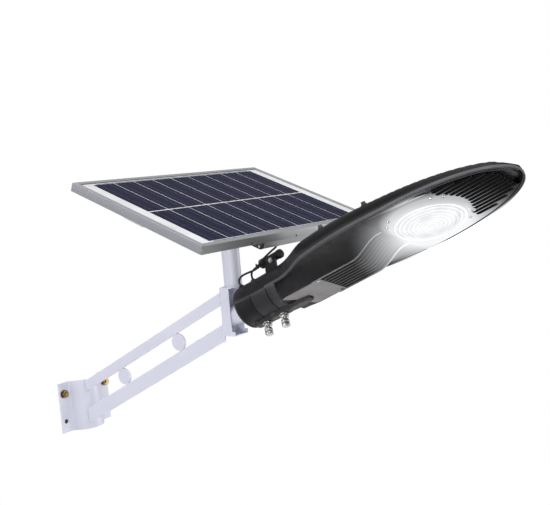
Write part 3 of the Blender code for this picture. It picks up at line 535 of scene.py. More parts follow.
def hexagon(across, low, high, place, bm=None):
    """Hexagonal nut or bolt head whose corners are turned down at its ends."""
    flat = across / 2
    cut = (high - low) * 0.16

    def shape(radius, height, angle):
        return min(six_sided(flat, angle), radius)

    corner = flat / math.cos(math.pi / 6)
    turned = flat * 0.97
    rows = [(flat * 0.5, low), (turned, low), (corner, low + cut), (corner, high - cut),
            (turned, high), (flat * 0.5, high)]
    return lathe(rows, place, bm, 48, shape)


def thread(radius, low, high, place, bm=None, pitch=1.25):
    """Rod with a helical thread."""
    depth = 0.55

    def shape(r, height, angle):
        phase = (height / pitch - angle / (2 * math.pi)) % 1.0
        return r - depth * abs(2 * phase - 1) if low + 0.6 < height < high - 0.6 else r - depth

    steps = max(4, round((high - low) / (pitch / 4)))
    return lathe([(radius, height) for height in even(low, high, steps)], place, bm, 24, shape)


def smooth_path(points, spacing):
    """Points about one spacing apart on a Catmull-Rom curve through the given points."""
    first = 2 * Vector(points[0]) - Vector(points[1])
    last = 2 * Vector(points[-1]) - Vector(points[-2])
    knots = [first] + [Vector(p) for p in points] + [last]
    path = [knots[1]]
    for a, b, c, d in zip(knots, knots[1:], knots[2:], knots[3:]):
        steps = max(1, round((c - b).length / spacing))
        for n in range(1, steps + 1):
            t = n / steps
            path.append(0.5 * (2 * b + (c - a) * t + (2 * a - 5 * b + 4 * c - d) * t * t
                               + (3 * b - a - 3 * c + d) * t ** 3))
    return path


def tube(path, radius, sides=12, bm=None):
    """Skin a tube along a path without twist; its radius is a number, or radius(i) at point i."""
    side = Vector((0, 0, 1)).cross(path[1] - path[0])
    if side.length < 1e-6:
        side = Vector((0, 1, 0))
    sections = []
    for i, point in enumerate(path):
        ahead = (path[min(i + 1, len(path) - 1)] - path[max(i - 1, 0)]).normalized()
        side = (side - side.dot(ahead) * ahead).normalized()
        other = ahead.cross(side)
        r = radius(i) if callable(radius) else radius
        ring = [2 * math.pi * k / sides for k in range(sides)]
        sections.append([point + r * (math.cos(t) * side + math.sin(t) * other) for t in ring])
    return loft(sections, bm)


def weld(bm, points, radius=2.0):
    """Rippled fillet bead along a line."""
    path = smooth_path(points, 0.8)

    def ripple(i):
        wave = 0.5 + 0.5 * math.cos(2 * math.pi * i / 3)
        uneven = noise.noise(path[i] * 0.35)
        ends = min(1.0, 0.45 + 0.25 * min(i, len(path) - 1 - i))
        return radius * ends * (0.88 + 0.14 * wave + 0.12 * uneven)

    return tube(path, ripple, 10, bm)


def box_bm(xs, ys, zs, bm=None):
    outline = [(xs[0], ys[0]), (xs[1], ys[0]), (xs[1], ys[1]), (xs[0], ys[1])]
    return slab(outline, *zs, bm)


def blend_step(low, high, amount):
    t = min(max((amount - low) / (high - low), 0.0), 1.0)
    return t * t * (3 - 2 * t)


def flat_plate(name, outlines, low, high, edge, finish, body, stands_for, shaded_walls):
    """Plate from closed outlines: the first is its edge and the others are holes in it.

    Its last argument picks, from a face's middle point, the walls that are drawn black: a painted shade deep
    between the fins.
    """
    curve = bpy.data.curves.new(name + "_outline", "CURVE")
    curve.dimensions = "2D"
    curve.fill_mode = "BOTH"
    curve.extrude = (high - low) / 2 - edge
    curve.bevel_depth = edge
    curve.bevel_resolution = 1
    curve.offset = -edge
    for outline in outlines:
        spline = curve.splines.new("POLY")
        spline.points.add(len(outline) - 1)
        for knot, (x, y) in zip(spline.points, outline):
            knot.co = (x, y, 0, 1)
        spline.use_cyclic_u = True
    holder = place_new(name + "_outline", curve)
    bpy.context.view_layer.update()
    mesh = bpy.data.meshes.new_from_object(
        holder.evaluated_get(bpy.context.evaluated_depsgraph_get()))
    bpy.data.objects.remove(holder, do_unlink=True)
    bm = bmesh.new()
    bm.from_mesh(mesh)
    bmesh.ops.remove_doubles(bm, verts=bm.verts, dist=0.001)
    bmesh.ops.translate(bm, vec=(0, 0, (low + high) / 2), verts=bm.verts)
    # walls deep in the pockets between the fins get the black material: a painted shade
    for face in bm.faces:
        middle = face.calc_center_median()
        if shaded_walls(middle) and middle.z > low + 0.9:
            face.material_index = 1
    piece = add(name, bm, finish, body, stands_for, smooth=50)
    piece.data.materials.append(FINISH["black"])


# ---- leads
def lead(name, points, *bodies):
    """Thin black cable between two bodies, as a tube along its route."""
    path = smooth_path(points, 1.2)
    piece = redo(name, "cable", tube(path, LEAD_RADIUS), "rubber", None, smooth=60)
    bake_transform(piece)


def build_leads():
    lead("panel_lead", PANEL_LEAD, "panel", "arm")
    lead("collar_lead", COLLAR_LEAD, "arm", "head")
    lead("pigtail_lead", PIGTAIL_LEAD, "arm", "head")
    build_tie()
    build_socket()
    for name, place, around in (("loop_grommet", 9.0, 125.0), ("pigtail_grommet", 31.0, 111.0)):
        out = (0, *on_circle(0, 0, 1, [around])[0])
        rows = [(2.0, COLLAR_RADIUS - 1), (4.6, COLLAR_RADIUS - 1), (4.7, COLLAR_RADIUS + 0.9),
                (4.1, COLLAR_RADIUS + 1.5), (3.2, COLLAR_RADIUS + 2.1), (2.5, COLLAR_RADIUS + 2.6),
                (1.85, COLLAR_RADIUS + 2.7)]
        redo(name, "sleeve", lathe(rows, facing((place, 0, 0), out), count=32), "rubber", "head")


def build_tie():
    """Cable tie where the lead turns into the collar: band, ratchet head and cut tail."""
    middle = (Vector(PANEL_LEAD[-1]) + Vector(COLLAR_LEAD[0])) / 2
    along = (Vector(COLLAR_LEAD[0]) - Vector(PANEL_LEAD[-1])).normalized()
    bm = lathe([(1.6, -1.55), (2.7, -1.5), (2.9, -1.2), (2.9, 1.2), (2.7, 1.5), (1.6, 1.55)], count=32)
    lathe([(0.4, -2.2), (1.85, -2.2), (1.85, 2.2), (0.4, 2.2)], None, bm, 16)
    box_bm((2.3, 4.6), (-1.9, 1.9), (-1.6, 1.6), bm)
    box_bm((4.4, 7.4), (-0.4, 0.3), (-1.2, 1.2), bm)
    add("cable_tie", bm, "black", "arm", ("lead_tie",), space=WORLD @ facing(middle, along))


def build_socket():
    """Capped waterproof socket: rubber boot, knurled nut, grooved barrel and cap."""
    at = HEAD @ Matrix.Translation((46.0, -10.0, 57.0)) @ facing((0, 0, 0), (1, 0, 0))

    def ridged(depth, teeth, low, high):
        def shape(radius, height, angle):
            inside = low < height < high
            return radius - (depth * (0.5 + 0.5 * math.cos(teeth * angle)) if inside else 0)
        return shape

    boot = [(1.8, 0), (3.0, 0), (3.1, 0.8), (3.6, 1.2), (3.9, 2.0), (4.4, 2.4), (4.7, 3.4), (5.3, 3.8),
            (5.9, 5.4), (6.1, 5.7), (4.0, 5.7)]
    redo("socket_boot", "ribbed", lathe(boot, count=36), "rubber", "arm", space=at)
    nut = [(6.2, 6.0), (7.4, 6.0), (8.3, 6.8), (8.5, 7.4), (8.5, 13.0), (8.5, 18.6), (8.3, 19.3),
           (7.4, 20.0), (5.0, 20.0)]
    redo("socket_nut", "knurled", lathe(nut, count=120, radius_at=ridged(0.75, 20, 7.0, 19.0)),
         "black", "arm", space=at)
    body = [(4.6, 20.1), (7.0, 20.3), (7.2, 20.8)]
    for k in range(5):
        start = 22 + 4.6 * k
        body += [(7.2, start), (6.9, start + 0.5), (6.2, start + 0.8), (6.2, start + 2.4),
                 (6.9, start + 2.7), (7.2, start + 3.2)]
    body += [(7.2, 45.2), (6.9, 45.7), (4.0, 45.7)]
    add("socket_barrel", lathe(body, count=48), "black", "arm", ("socket_body",), space=at)
    cap = [(5.0, 46.0), (7.4, 46.0), (7.8, 46.5), (7.8, 52.4), (7.5, 53.3), (6.6, 54.3), (3.0, 54.5)]
    redo("socket_cap", "ribbed", lathe(cap, count=96, radius_at=ridged(0.5, 16, 46.6, 52.0)),
         "rubber", "arm", space=at)


# ---- clamp plate and arm
ARM_SLOPE, POST_X, ARM_MID_Z = 0.49, 411.3, 195.75
ARM_Y = (-19.0, -13.0)
BAR_ENDS, DISC_PLACES, DISC_RADIUS = (32.2, 393.4), (139.4, 286.6), 14.6
FOOT_RADIUS, FOOT_Z = 15.8, 235.4
BAR_EDGES = {"upper": (17.15, 38.95), "lower": (-46.95, -17.15)}


def arm_height(x):
    return ARM_MID_Z + ARM_SLOPE * (x - POST_X)


def build_arm():
    for node, bevel in (("clamp_plate", 0.9), ("arm_upper_bar", 1.3), ("arm_lower_bar", 1.3),
                        ("arm_disc_inner", 0.9), ("arm_disc_outer", 0.9), ("end_bracket", 0.7),
                        ("panel_post", 0.5), ("post_fork", 0.5), ("spigot_tube", 0.4)):
        refine(node, "paint", "arm", bevel)
    build_arm_welds()
    build_plate_hardware()
    build_hole_shade()
    build_tilt_hardware()


def build_arm_welds():
    """Beads round the bars' ends, along the discs and round the foot of the post."""
    bm = bmesh.new()
    near, far = ARM_Y
    for low, high in BAR_EDGES.values():
        for x in BAR_ENDS:
            z0, z1 = arm_height(x) + low, arm_height(x) + high
            for y in (near + 0.4, far - 0.4):
                weld(bm, [(x, y, z0 + 1), (x, y, (z0 + z1) / 2), (x, y, z1 - 1)])
            for z in (z0, z1):
                weld(bm, [(x, near + 0.6, z), (x, (near + far) / 2, z), (x, far - 0.6, z)], 1.7)
    lean = math.degrees(math.atan(ARM_SLOPE))
    for middle in DISC_PLACES:
        for turn in (90, 270):
            for y in (near + 1.2, far - 1.2):
                angles = [turn + lean + step for step in (-26, -13, 0, 13, 26)]
                arc = on_circle(middle, arm_height(middle), DISC_RADIUS, angles)
                weld(bm, [(x, y, z) for x, z in arc], 1.4)
    foot = on_circle(POST_X, 0, FOOT_RADIUS, even(0, 360, 16))
    weld(bm, [(x, y, FOOT_Z) for x, y in foot], 1.6)
    add("arm_welds", bm, "weld", "arm", smooth=70)


STUD_BACK, STUD_TIP, STUD_Y, STUD_Z = -7.0, 14.5, 54.0, 27.5


def build_plate_hardware():
    """Two clamp studs with nuts and washers, yellow zinc plated."""
    for side, label in ((-1, "left"), (1, "right")):
        place = facing((0, side * STUD_Y, STUD_Z), (1, 0, 0))
        redo(f"plate_stud_{label}", "thread", thread(4.0, STUD_BACK, STUD_TIP, place), "zinc", "arm",
             smooth=50)
        bm = hexagon(13.0, 5.6, 12.4, place)
        lathe([(4.3, 4.0), (8.0, 4.0), (8.2, 4.3), (8.2, 5.3), (8.0, 5.6), (4.3, 5.6)], place, bm, 40)
        redo(f"plate_nut_{label}", "hex", bm, "zinc", "arm")


def build_hole_shade():
    """Black plug shapes in the two lower holes of the clamp plate: a painted shade in the holes."""
    bm = bmesh.new()
    for y in (-STUD_Y, STUD_Y):
        rows = [(1.0, 0.4), (4.4, 0.4), (4.5, 1.0), (4.5, 2.6), (3.9, 3.2), (2.2, 2.9), (0.8, 2.8)]
        lathe(rows, facing((0, y, -STUD_Z), (1, 0, 0)), bm, 28)
    add("plate_hole_shade", bm, "black", "arm")


def build_tilt_hardware():
    """Hinge bolt and nut of the panel, with their washers outside the bracket."""
    hinge = Vector(joint("panel_tilt")["pos_m"]) / MM
    outside = 10.3 + 2 * 3.0 + 0.6
    left, right = facing(hinge, (0, -1, 0)), facing(hinge, (0, 1, 0))
    washer = [(4.0, outside - 0.2), (7.6, outside - 0.2), (7.6, outside + 0.9), (4.0, outside + 0.9)]
    bm = lathe(washer, left, hexagon(13.0, outside + 0.9, outside + 5.6, left), 40)
    thread(4.0, -outside - 9.0, outside, left, bm)
    redo("tilt_bolt", "hex", bm, "steel", "arm")
    bm = lathe(washer, right, hexagon(13.0, outside + 0.9, outside + 6.5, right), 40)
    redo("tilt_nut", "hex", bm, "steel", "arm")


# ---- panel
PANEL_U, PANEL_Y, GLASS_Z = 140.25, 239.4, 39.2
CELL_U, CELL_Y = 125.0, 208.0
CELL_COLUMNS, CELL_GAP, MIDDLE_GAP = 9, 2.0, 3.4


def build_laminate():
    """Glass, cells and film as one bonded stack, with each cell and busbar laid on it."""
    half_u, half_y = PANEL_U - 2.1, PANEL_Y - 2.1
    bm = box_bm((-half_u, half_u), (-half_y, half_y), (GLASS_Z - 4.4, GLASS_Z - 0.25))
    sheet = bm.loops.layers.uv.new("sheet")
    film_faces = set(bm.faces)
    pitch = 2 * CELL_Y / CELL_COLUMNS
    for column in range(CELL_COLUMNS):
        y0 = -CELL_Y + column * pitch + CELL_GAP / 2
        y1 = y0 + pitch - CELL_GAP
        for u0, u1 in ((-CELL_U, -MIDDLE_GAP / 2), (MIDDLE_GAP / 2, CELL_U)):
            rim = [bm.verts.new((u, y, GLASS_Z)) for u, y in ((u0, y0), (u1, y0), (u1, y1), (u0, y1))]
            low = [bm.verts.new((v.co.x, v.co.y, GLASS_Z - 0.3)) for v in rim]
            bm.faces.new(rim).material_index = 1
            for i in range(4):
                j = (i + 1) % 4
                bm.faces.new((low[i], low[j], rim[j], rim[i])).material_index = 1
            bm.faces.new(low[::-1]).material_index = 1
    for face in bm.faces:
        for corner in face.loops:
            corner[sheet].uv = (corner.vert.co.x * MM, corner.vert.co.y * MM)
        if face in film_faces:
            face.material_index = 0
    piece = add("solar_laminate", bm, "film", "panel", ("panel_glass", "cell_sheet"), smooth=20)
    piece.data.materials.append(FINISH["cells"])
    bars = bmesh.new()
    for column in range(CELL_COLUMNS):
        for share in (0.27, 0.73):
            y = -CELL_Y + (column + share) * pitch
            box_bm((-CELL_U - 2.5, CELL_U + 2.5), (y - 0.25, y + 0.25), (GLASS_Z - 0.1, GLASS_Z + 0.06),
                   bars)
    for u in (-CELL_U - 2.6, CELL_U + 2.6):
        box_bm((u - 1.0, u + 1.0), (-CELL_Y + 8, CELL_Y - 8), (GLASS_Z - 0.3, GLASS_Z - 0.15), bars)
    add("cell_busbars", bars, "silver", "panel", smooth=20)


def build_frame():
    for node, finish in (("frame_front_rail", "rail_y"), ("frame_rear_rail", "rail_y"),
                         ("frame_left_rail", "rail_u"), ("frame_right_rail", "rail_u")):
        refine(node, finish, "panel", 0.5)
    screws = bmesh.new()
    for u_side in (-1, 1):
        for y in (-120.0, 2.0, 124.0):
            place = facing((u_side * (PANEL_U - 0.3), y, 29.5), (u_side, 0, 0))
            lathe([(0.8, -0.5), (2.4, -0.5), (2.4, 0.2), (2.0, 0.75), (1.0, 0.95), (0.7, 0.55), (0.3, 0.5)],
                  place, screws, 24)
    add("frame_screws", screws, "dark_steel", "panel")
    refine("back_channel", "mill", "panel", 0.4)
    refine("tilt_bracket", "paint", "panel", 0.5)
    dress("back", "backsheet")
    dress("battery", "battery_pack")
    dress("circuit", "charge_controller")


def build_box():
    """Battery box: ribbed extrusion, moulded caps with screws, and a cable gland."""
    refine("battery_box", "rail_y", "panel", 0.3)
    for node, y, out in (("box_cap_left", -68.0, -1), ("box_cap_right", 112.0, 1)):
        refine(node, "black", "panel", 1.6)
        screws = bmesh.new()
        for u in (67.0, 120.0):
            for z in (11.0, 21.5):
                place = facing((u, y, z), (0, out, 0))
                lathe([(0.6, -0.6), (2.1, -0.6), (2.1, 0.3), (1.5, 0.8), (0.6, 0.5)], place, screws, 20)
        add(f"{node}_screws", screws, "steel", "panel")
    place = Matrix.Translation((112.0, -6.0, 6.5))

    def hexed(radius, height, angle):
        return min(six_sided(5.2, angle), radius) if height > -2.6 else radius

    rows = [(1.9, -5.0), (3.4, -5.0), (4.0, -4.4), (4.2, -3.2), (4.2, -2.7), (5.7, -2.5), (5.9, -2.2),
            (5.9, -0.3), (2.0, -0.3)]
    redo("box_gland", "nut", lathe(rows, place, count=48, radius_at=hexed), "black", "panel")


# ---- head
def rim_half_width(s):
    if s <= COLLAR_LENGTH:
        return COLLAR_RADIUS
    if s <= WIDEST_S:
        t = (WIDEST_S - s) / (WIDEST_S - COLLAR_LENGTH)
        return COLLAR_RADIUS + (HEAD_HALF - COLLAR_RADIUS) * (1 - t ** OUTLINE_POWER)
    t = min((s - WIDEST_S) / (HEAD_LENGTH - WIDEST_S), 1.0)
    return HEAD_HALF * math.sqrt(max(1 - t ** 2.3, 0.0))


def rim_height(s):
    t = (RIM_LEVEL_S - s) / (RIM_LEVEL_S - COVER_START)
    return RIM_Z + (COLLAR_SPLIT_Z - RIM_Z) * min(max(t, 0.0), 1.0)


def crown_height(s):
    t = max(s - COLLAR_LENGTH, 0.0) / (HEAD_LENGTH - COLLAR_LENGTH)
    height = CROWN_START + (CROWN_END - CROWN_START) * t ** 1.35
    return height * (1 - 0.45 * blend_step(512.0, HEAD_LENGTH, s) ** 1.5)


def crown_section(s, shrink=0.0, groove=0.0):
    """Over the top from rim to rim: round on the collar, a flat dome on the body."""
    shape = blend_step(COLLAR_LENGTH - 5, COLLAR_LENGTH + NECK_BLEND, s)
    radius = COLLAR_RADIUS - shrink * (COLLAR_RADIUS - COLLAR_BORE)
    rim = rim_height(s)
    start = math.asin(rim / radius)
    wide = max(rim_half_width(s + shrink * SHELL * 0.5) - shrink * SHELL, 0.6)
    tall = crown_height(s) + RIM_Z - rim - shrink * SHELL
    points = []
    for k in range(CROWN_STEPS + 1):
        t = k / CROWN_STEPS
        round_at = math.pi - start + (2 * start - math.pi) * t
        dome_at = math.pi * (1 - t)
        c, d = math.cos(dome_at), math.sin(dome_at)
        dome_y = wide * math.copysign(abs(c) ** 0.5, c)
        dome_z = tall * abs(d) ** 0.5
        y = (1 - shape) * radius * math.cos(round_at) + shape * dome_y
        z = (1 - shape) * radius * math.sin(round_at) + shape * (rim + dome_z)
        lowered = groove * blend_step(0.66, 0.84, dome_z / tall)
        points.append((s, y * (1 - lowered / max(wide, 8.0)), z - lowered))
    return points


def fin_stations():
    """Stations along the head with how deep the top is cut there between its cooling fins."""
    stations = [(s, 0.0) for s in (0.0, 20.0, 40.0, 60.0, 78.0)]
    stations += [(s, 0.0) for s in even(78.0, FIN_START, 26)[1:-1]]
    count = int((FIN_END - FIN_START) / FIN_PITCH)
    for k in range(count):
        start = FIN_START + k * FIN_PITCH
        deep = FIN_DEPTH * min(1.0, (k + 1) / 4, (count - k) / 5)
        stations += [(start, 0.0), (start + 0.46 * FIN_PITCH, 0.0), (start + 0.58 * FIN_PITCH, deep),
                     (start + 0.88 * FIN_PITCH, deep)]
    tip = closing(FIN_START + count * FIN_PITCH, HEAD_LENGTH - 0.05, 7)
    return stations + [(s, 0.0) for s in tip]


def build_upper_housing():
    """Leaf-shaped casting with cross fins over the light engine and a rounded rim.

    A black band and a thin lighter line run along the inside of the rim on the -Y side: a painted shadow
    under the rim's lip and a painted highlight on its inner edge.
    """
    sections = []
    squeeze = (HEAD_LENGTH - SHELL - 1) / HEAD_LENGTH
    for s, groove in fin_stations():
        inside = crown_section(s * squeeze if s > 78 else s, 1.0)
        sections.append(crown_section(s, 0.0, groove) + inside[::-1])
    redo("upper_housing", "finned", loft(sections), "charcoal_crown_shaded_tip", "head", smooth=32)
    sections = []
    outline = rim_outline(74.0)
    profile = ((-1.3, -0.1), (-1.3, -1.1), (-0.9, -1.5), (0.1, -1.5), (0.8, -0.9), (0.8, 2.2),
               (0.2, 3.0), (-0.9, 3.2), (-1.0, -0.1))
    for i, (s, y) in enumerate(outline):
        before, after = outline[max(i - 1, 0)], outline[min(i + 1, len(outline) - 1)]
        ahead = Vector((after[0] - before[0], after[1] - before[1])).normalized()
        out = Vector((-ahead.y, ahead.x))
        sections.append([(s + out.x * a, y + out.y * a, rim_height(s) + b) for a, b in profile])
    # the rim's lighter grey is a painted highlight along its lip
    add("housing_rim_highlighted", loft(sections), "charcoal_rim_highlight", "head", smooth=40)
    # lines on the -Y side only: a black band that is a painted shadow under the lip, and a lighter line that
    # is a painted highlight
    shadow_band, border = [], []
    for s, y in outline:
        if s > COVER_START and y < 0.0:
            inward = min(1.0, max(HEAD_LENGTH - s, 0.0) / 30.0)
            for line, inset, up in ((shadow_band, 2.9, -0.3), (border, 7.2, -0.9)):
                at_s = s - inset * (1 - inward) ** 0.5
                line.append(Vector((at_s, min(y + inset * (0.35 + 0.65 * inward), 0.0),
                                    rim_height(s) + up)))
    # black band just inside the rim: a painted shadow under the rim's lip
    add("rim_shadow_band", tube(shadow_band, 1.2, 8), "black", "head", slot="rubber", smooth=60)
    border = [point for point in border if point.x > 300.0]
    # thin lighter line along the rim's inner edge on the -Y side: a painted highlight
    add("rim_inner_highlight", tube(border, 0.75, 8), "charcoal_rim_highlight", "head", smooth=60)
    build_bosses()
    build_lug()


def rim_outline(start):
    """Outer edge of the housing at its rim, from one side of the collar round the tip to the other."""
    half = [(s, abs(crown_section(min(s, HEAD_LENGTH - 0.001))[0][1]))
            for s in closing(start, HEAD_LENGTH, 100)[:-1]]
    return half + [(HEAD_LENGTH, 0.0)] + [(s, -y) for s, y in half[::-1]]


def build_bosses():
    """Cap screws near the edge of the crown that hold its inner frame."""
    screws = bmesh.new()
    for s in (237.0, 329.0):
        for side in (-1, 1):
            wide, rim = rim_half_width(s), rim_height(s)
            y = wide - 9.5
            z = rim + (crown_height(s) + RIM_Z - rim) * (1 - (y / wide) ** 4) ** 0.25
            place = facing((s, side * y, z), (0, side * 0.45, 0.89))
            lathe([(1.0, -4.0), (4.6, -4.0), (4.6, 0.8), (4.0, 1.4), (3.4, 1.5), (3.4, 4.2), (3.0, 4.8),
                   (1.8, 5.0), (1.6, 3.4), (0.5, 3.3)], place, screws, 32)
    add("crown_screws", screws, "black", "head", slot="charcoal")


def build_lug():
    """Lead bracket on the collar's shoulder, with its bright bolt."""
    outline = [(74.0, 24.0), (98.0, 24.0), (98.0, 43.0)]
    outline += on_circle(90, 42, 8, range(0, 91, 15)) + [(84.0, 50.0), (76.0, 38.0), (74.0, 34.0)]
    bm = loft([[(s, y, z) for s, z in outline] for y in (-28.0, -23.0)])
    add("lead_bracket", bm, "charcoal", "head", bevel=0.8)
    place = facing((90.0, -28.0, 43.0), (0, -1, 0))
    bm = hexagon(7.0, 0.9, 3.4, place)
    lathe([(1.5, -0.1), (4.4, -0.1), (4.4, 0.8), (1.5, 0.8)], place, bm, 32)
    thread(2.0, -9.0, 0.5, place, bm, 0.8)
    redo("lug_bolt", "hex", bm, "steel", "head")


def build_collar():
    """Lower half of the collar: end lip, two seam grooves, keel and its black pads."""
    stations = [(0.0, -0.6), (0.8, 0.7), (4.2, 0.7), (5.0, 0.0)]
    for s in (39.0, 75.0):
        stations += [(s - 1.0, 0.0), (s - 0.4, -1.0), (s + 0.6, -1.0), (s + 1.2, 0.0)]
    stations += [(COVER_START - 0.6, 0.0)]
    top = COLLAR_SPLIT_Z - GAP
    sections = []
    for s, proud in sorted(stations):
        section = []
        for radius, order in ((COLLAR_RADIUS + proud, 1), (COLLAR_BORE, -1)):
            edge = math.asin(top / radius)
            sweep = [math.pi - edge + (math.pi + 2 * edge) * k / 40 for k in range(41)]
            section += [(s, radius * math.cos(t), radius * math.sin(t)) for t in sweep[::order]]
        sections.append(section)
    add("collar_lower_half", loft(sections), "charcoal", "head", ("collar_lower",), smooth=30)
    keel = [(14, -35), (14, KEEL_Z + 2), (17, KEEL_Z), (88, KEEL_Z), (95, KEEL_Z + 3), (95, -35)]
    bm = loft([[(s, y, z) for s, z in keel] for y in (-8.0, 8.0)])
    add("collar_keel", bm, "charcoal", "head", bevel=1.5)
    half = 9.5
    for label, s0, s1 in (("rear", 12.0, 25.0), ("middle", 43.0, 68.0), ("front", 82.0, 138.0)):
        outline = [(s0 + (s1 - s0) * t, half * math.sin(math.pi * (0.12 + 0.76 * t)) ** 0.5)
                   for t in even(0, 1, 8)]
        outline += [(s, -y) for s, y in outline[::-1]]
        sections = []
        for z, inset in ((-33.0, 0.0), (-40.5, 0.0), (-42.6, 1.2), (-43.6, 3.2)):
            shrink, middle = 1 - inset / half, (s0 + s1) / 2
            sections.append([(middle + (s - middle) * shrink, y * shrink, z) for s, y in outline])
        add(f"keel_pad_{label}", loft(sections), "black", "head", smooth=40)
    build_clamp_bolts()


def build_clamp_bolts():
    """Two bolts up through the keel, each with two thin nuts and a nut with a washer."""
    for label, s in (("rear", 36.0), ("front", 75.0)):
        place = facing((s, 0, 0), (0, 0, -1))
        bm = hexagon(12.6, 53.3, 59.2, place)
        hexagon(12.6, 59.5, 65.6, place, bm)
        thread(4.0, 24.3, 66.0, place, bm)
        redo(f"clamp_bolt_{label}", "hex", bm, "steel", "head")
        bm = hexagon(13.0, 44.9, 50.2, place)
        lathe([(4.3, 43.4), (8.4, 43.4), (8.4, 44.9), (4.3, 44.9)], place, bm, 40)
        redo(f"clamp_locknut_{label}", "hex", bm, "steel", "head")


def inner_half_width(s):
    return abs(crown_section(s, 1.0)[0][1]) - 1


RIB_COUNT, RIB_PITCH, RIB_WIDTH, RIB_DEPTH = 8, 8.1, 4.2, 3.4


def cover_section(s, lift):
    """Underside of the driver cover with its ribs, or its inside when lifted."""
    depth = BULGE_Z + (RIM_Z - 1.5 - BULGE_Z) * blend_step(RAMP_START, RAMP_END, s)
    rim = rim_height(s) - GAP
    edge = inner_half_width(s) - 1.2 * lift
    flat = min(BULGE_HALF, inner_half_width(s) - 3) - lift
    half = [(edge - (edge - flat) * t, rim + lift + (depth - rim) * t ** 1.7) for t in even(0, 1, 14)]
    cut = 0.0 if lift else RIB_DEPTH * blend_step(187.0, 190.0, s) * (1 - blend_step(309.0, 317.0, s))
    bed = []
    for k in range(RIB_COUNT):
        middle = (RIB_COUNT / 2 - 0.5 - k) * RIB_PITCH * flat / BULGE_HALF
        wide = RIB_WIDTH / 2 * flat / BULGE_HALF
        bed += [(middle + wide, 0.0), (middle + 0.7 * wide, cut), (middle - 0.7 * wide, cut),
                (middle - wide, 0.0)]
    base = half[-1][1]
    ring = half + [(y, base + up) for y, up in bed] + [(-y, z) for y, z in half[::-1]]
    return [(s, y, z) for y, z in ring]


def build_driver_cover():
    """Smooth bulge over the driver; ribs run along its floor and up the ramp to the lens."""
    places = even(COVER_START, 186.0, 12) + [187.5, 189.0] + even(190.5, 306.0, 30)
    places += even(308.0, COVER_END, 5)
    sections = [cover_section(s, 0.0) + cover_section(s, 4.6)[::-1] for s in places]
    redo("driver_cover", "ribbed", loft(sections), "charcoal_lit", "head", smooth=38)
    # lighter tubes along both edges of the rib field up the ramp: painted highlights
    for side in (-1, 1):
        ridge_highlight = []
        for s in places[10:]:
            y, z = cover_section(s, 0.0)[14][1:]
            ridge_highlight.append(Vector((s, side * (y + 0.2), z - 0.1)))
        add("cover_ridge_highlight_left" if side < 0 else "cover_ridge_highlight_right", tube(ridge_highlight, 0.9, 8),
            "ridge_highlight", "head", smooth=60)
    outline = [(103.0, -31.0), (112.0, -33.6), (187.0, -33.8), (187.0, 33.8), (124.0, 32.0), (118.0, 12.0),
               (114.0, -12.0)]
    add("blank_plate", slab(outline, BULGE_Z - 0.7, BULGE_Z + 0.6), "plate_grey", "head", bevel=0.5)
    for side, label, metal in ((-1, "left", "steel"), (1, "right", "dark_steel")):
        place = facing((181.0, side * 30.0, BULGE_Z - 0.7), (0, 0, -1))
        rows = [(1.0, -0.5), (3.2, -0.5), (3.2, 0.4), (2.6, 1.2), (1.5, 1.5), (1.3, 0.8), (0.4, 0.7)]
        redo(f"cover_screw_{label}", "head", lathe(rows, place, count=32), metal, "head")


SLOT_PITCH, SLOT_HALF, SLOT_COUNT, BORDER, SLOT_END = 9.6, 4.35, 13, 14.0, 516.0
PLATE_DEEP, CLIP_CIRCLE = 8.0, 64.5


def slot_outline(y):
    """Stadium-ended slot between two fins, from the lens clips to the border of the tip."""
    start = LENS_S + math.sqrt(max((BEZEL_RADIUS + 4.0) ** 2 - y * y, 46.0 ** 2))
    end = HEAD_LENGTH
    while rim_half_width(end) - BORDER < abs(y) or end > SLOT_END:
        end -= 0.5
    return on_circle(end - SLOT_HALF, y, SLOT_HALF, range(-90, 91, 30)) \
        + on_circle(start + SLOT_HALF, y, SLOT_HALF, range(90, 271, 30))


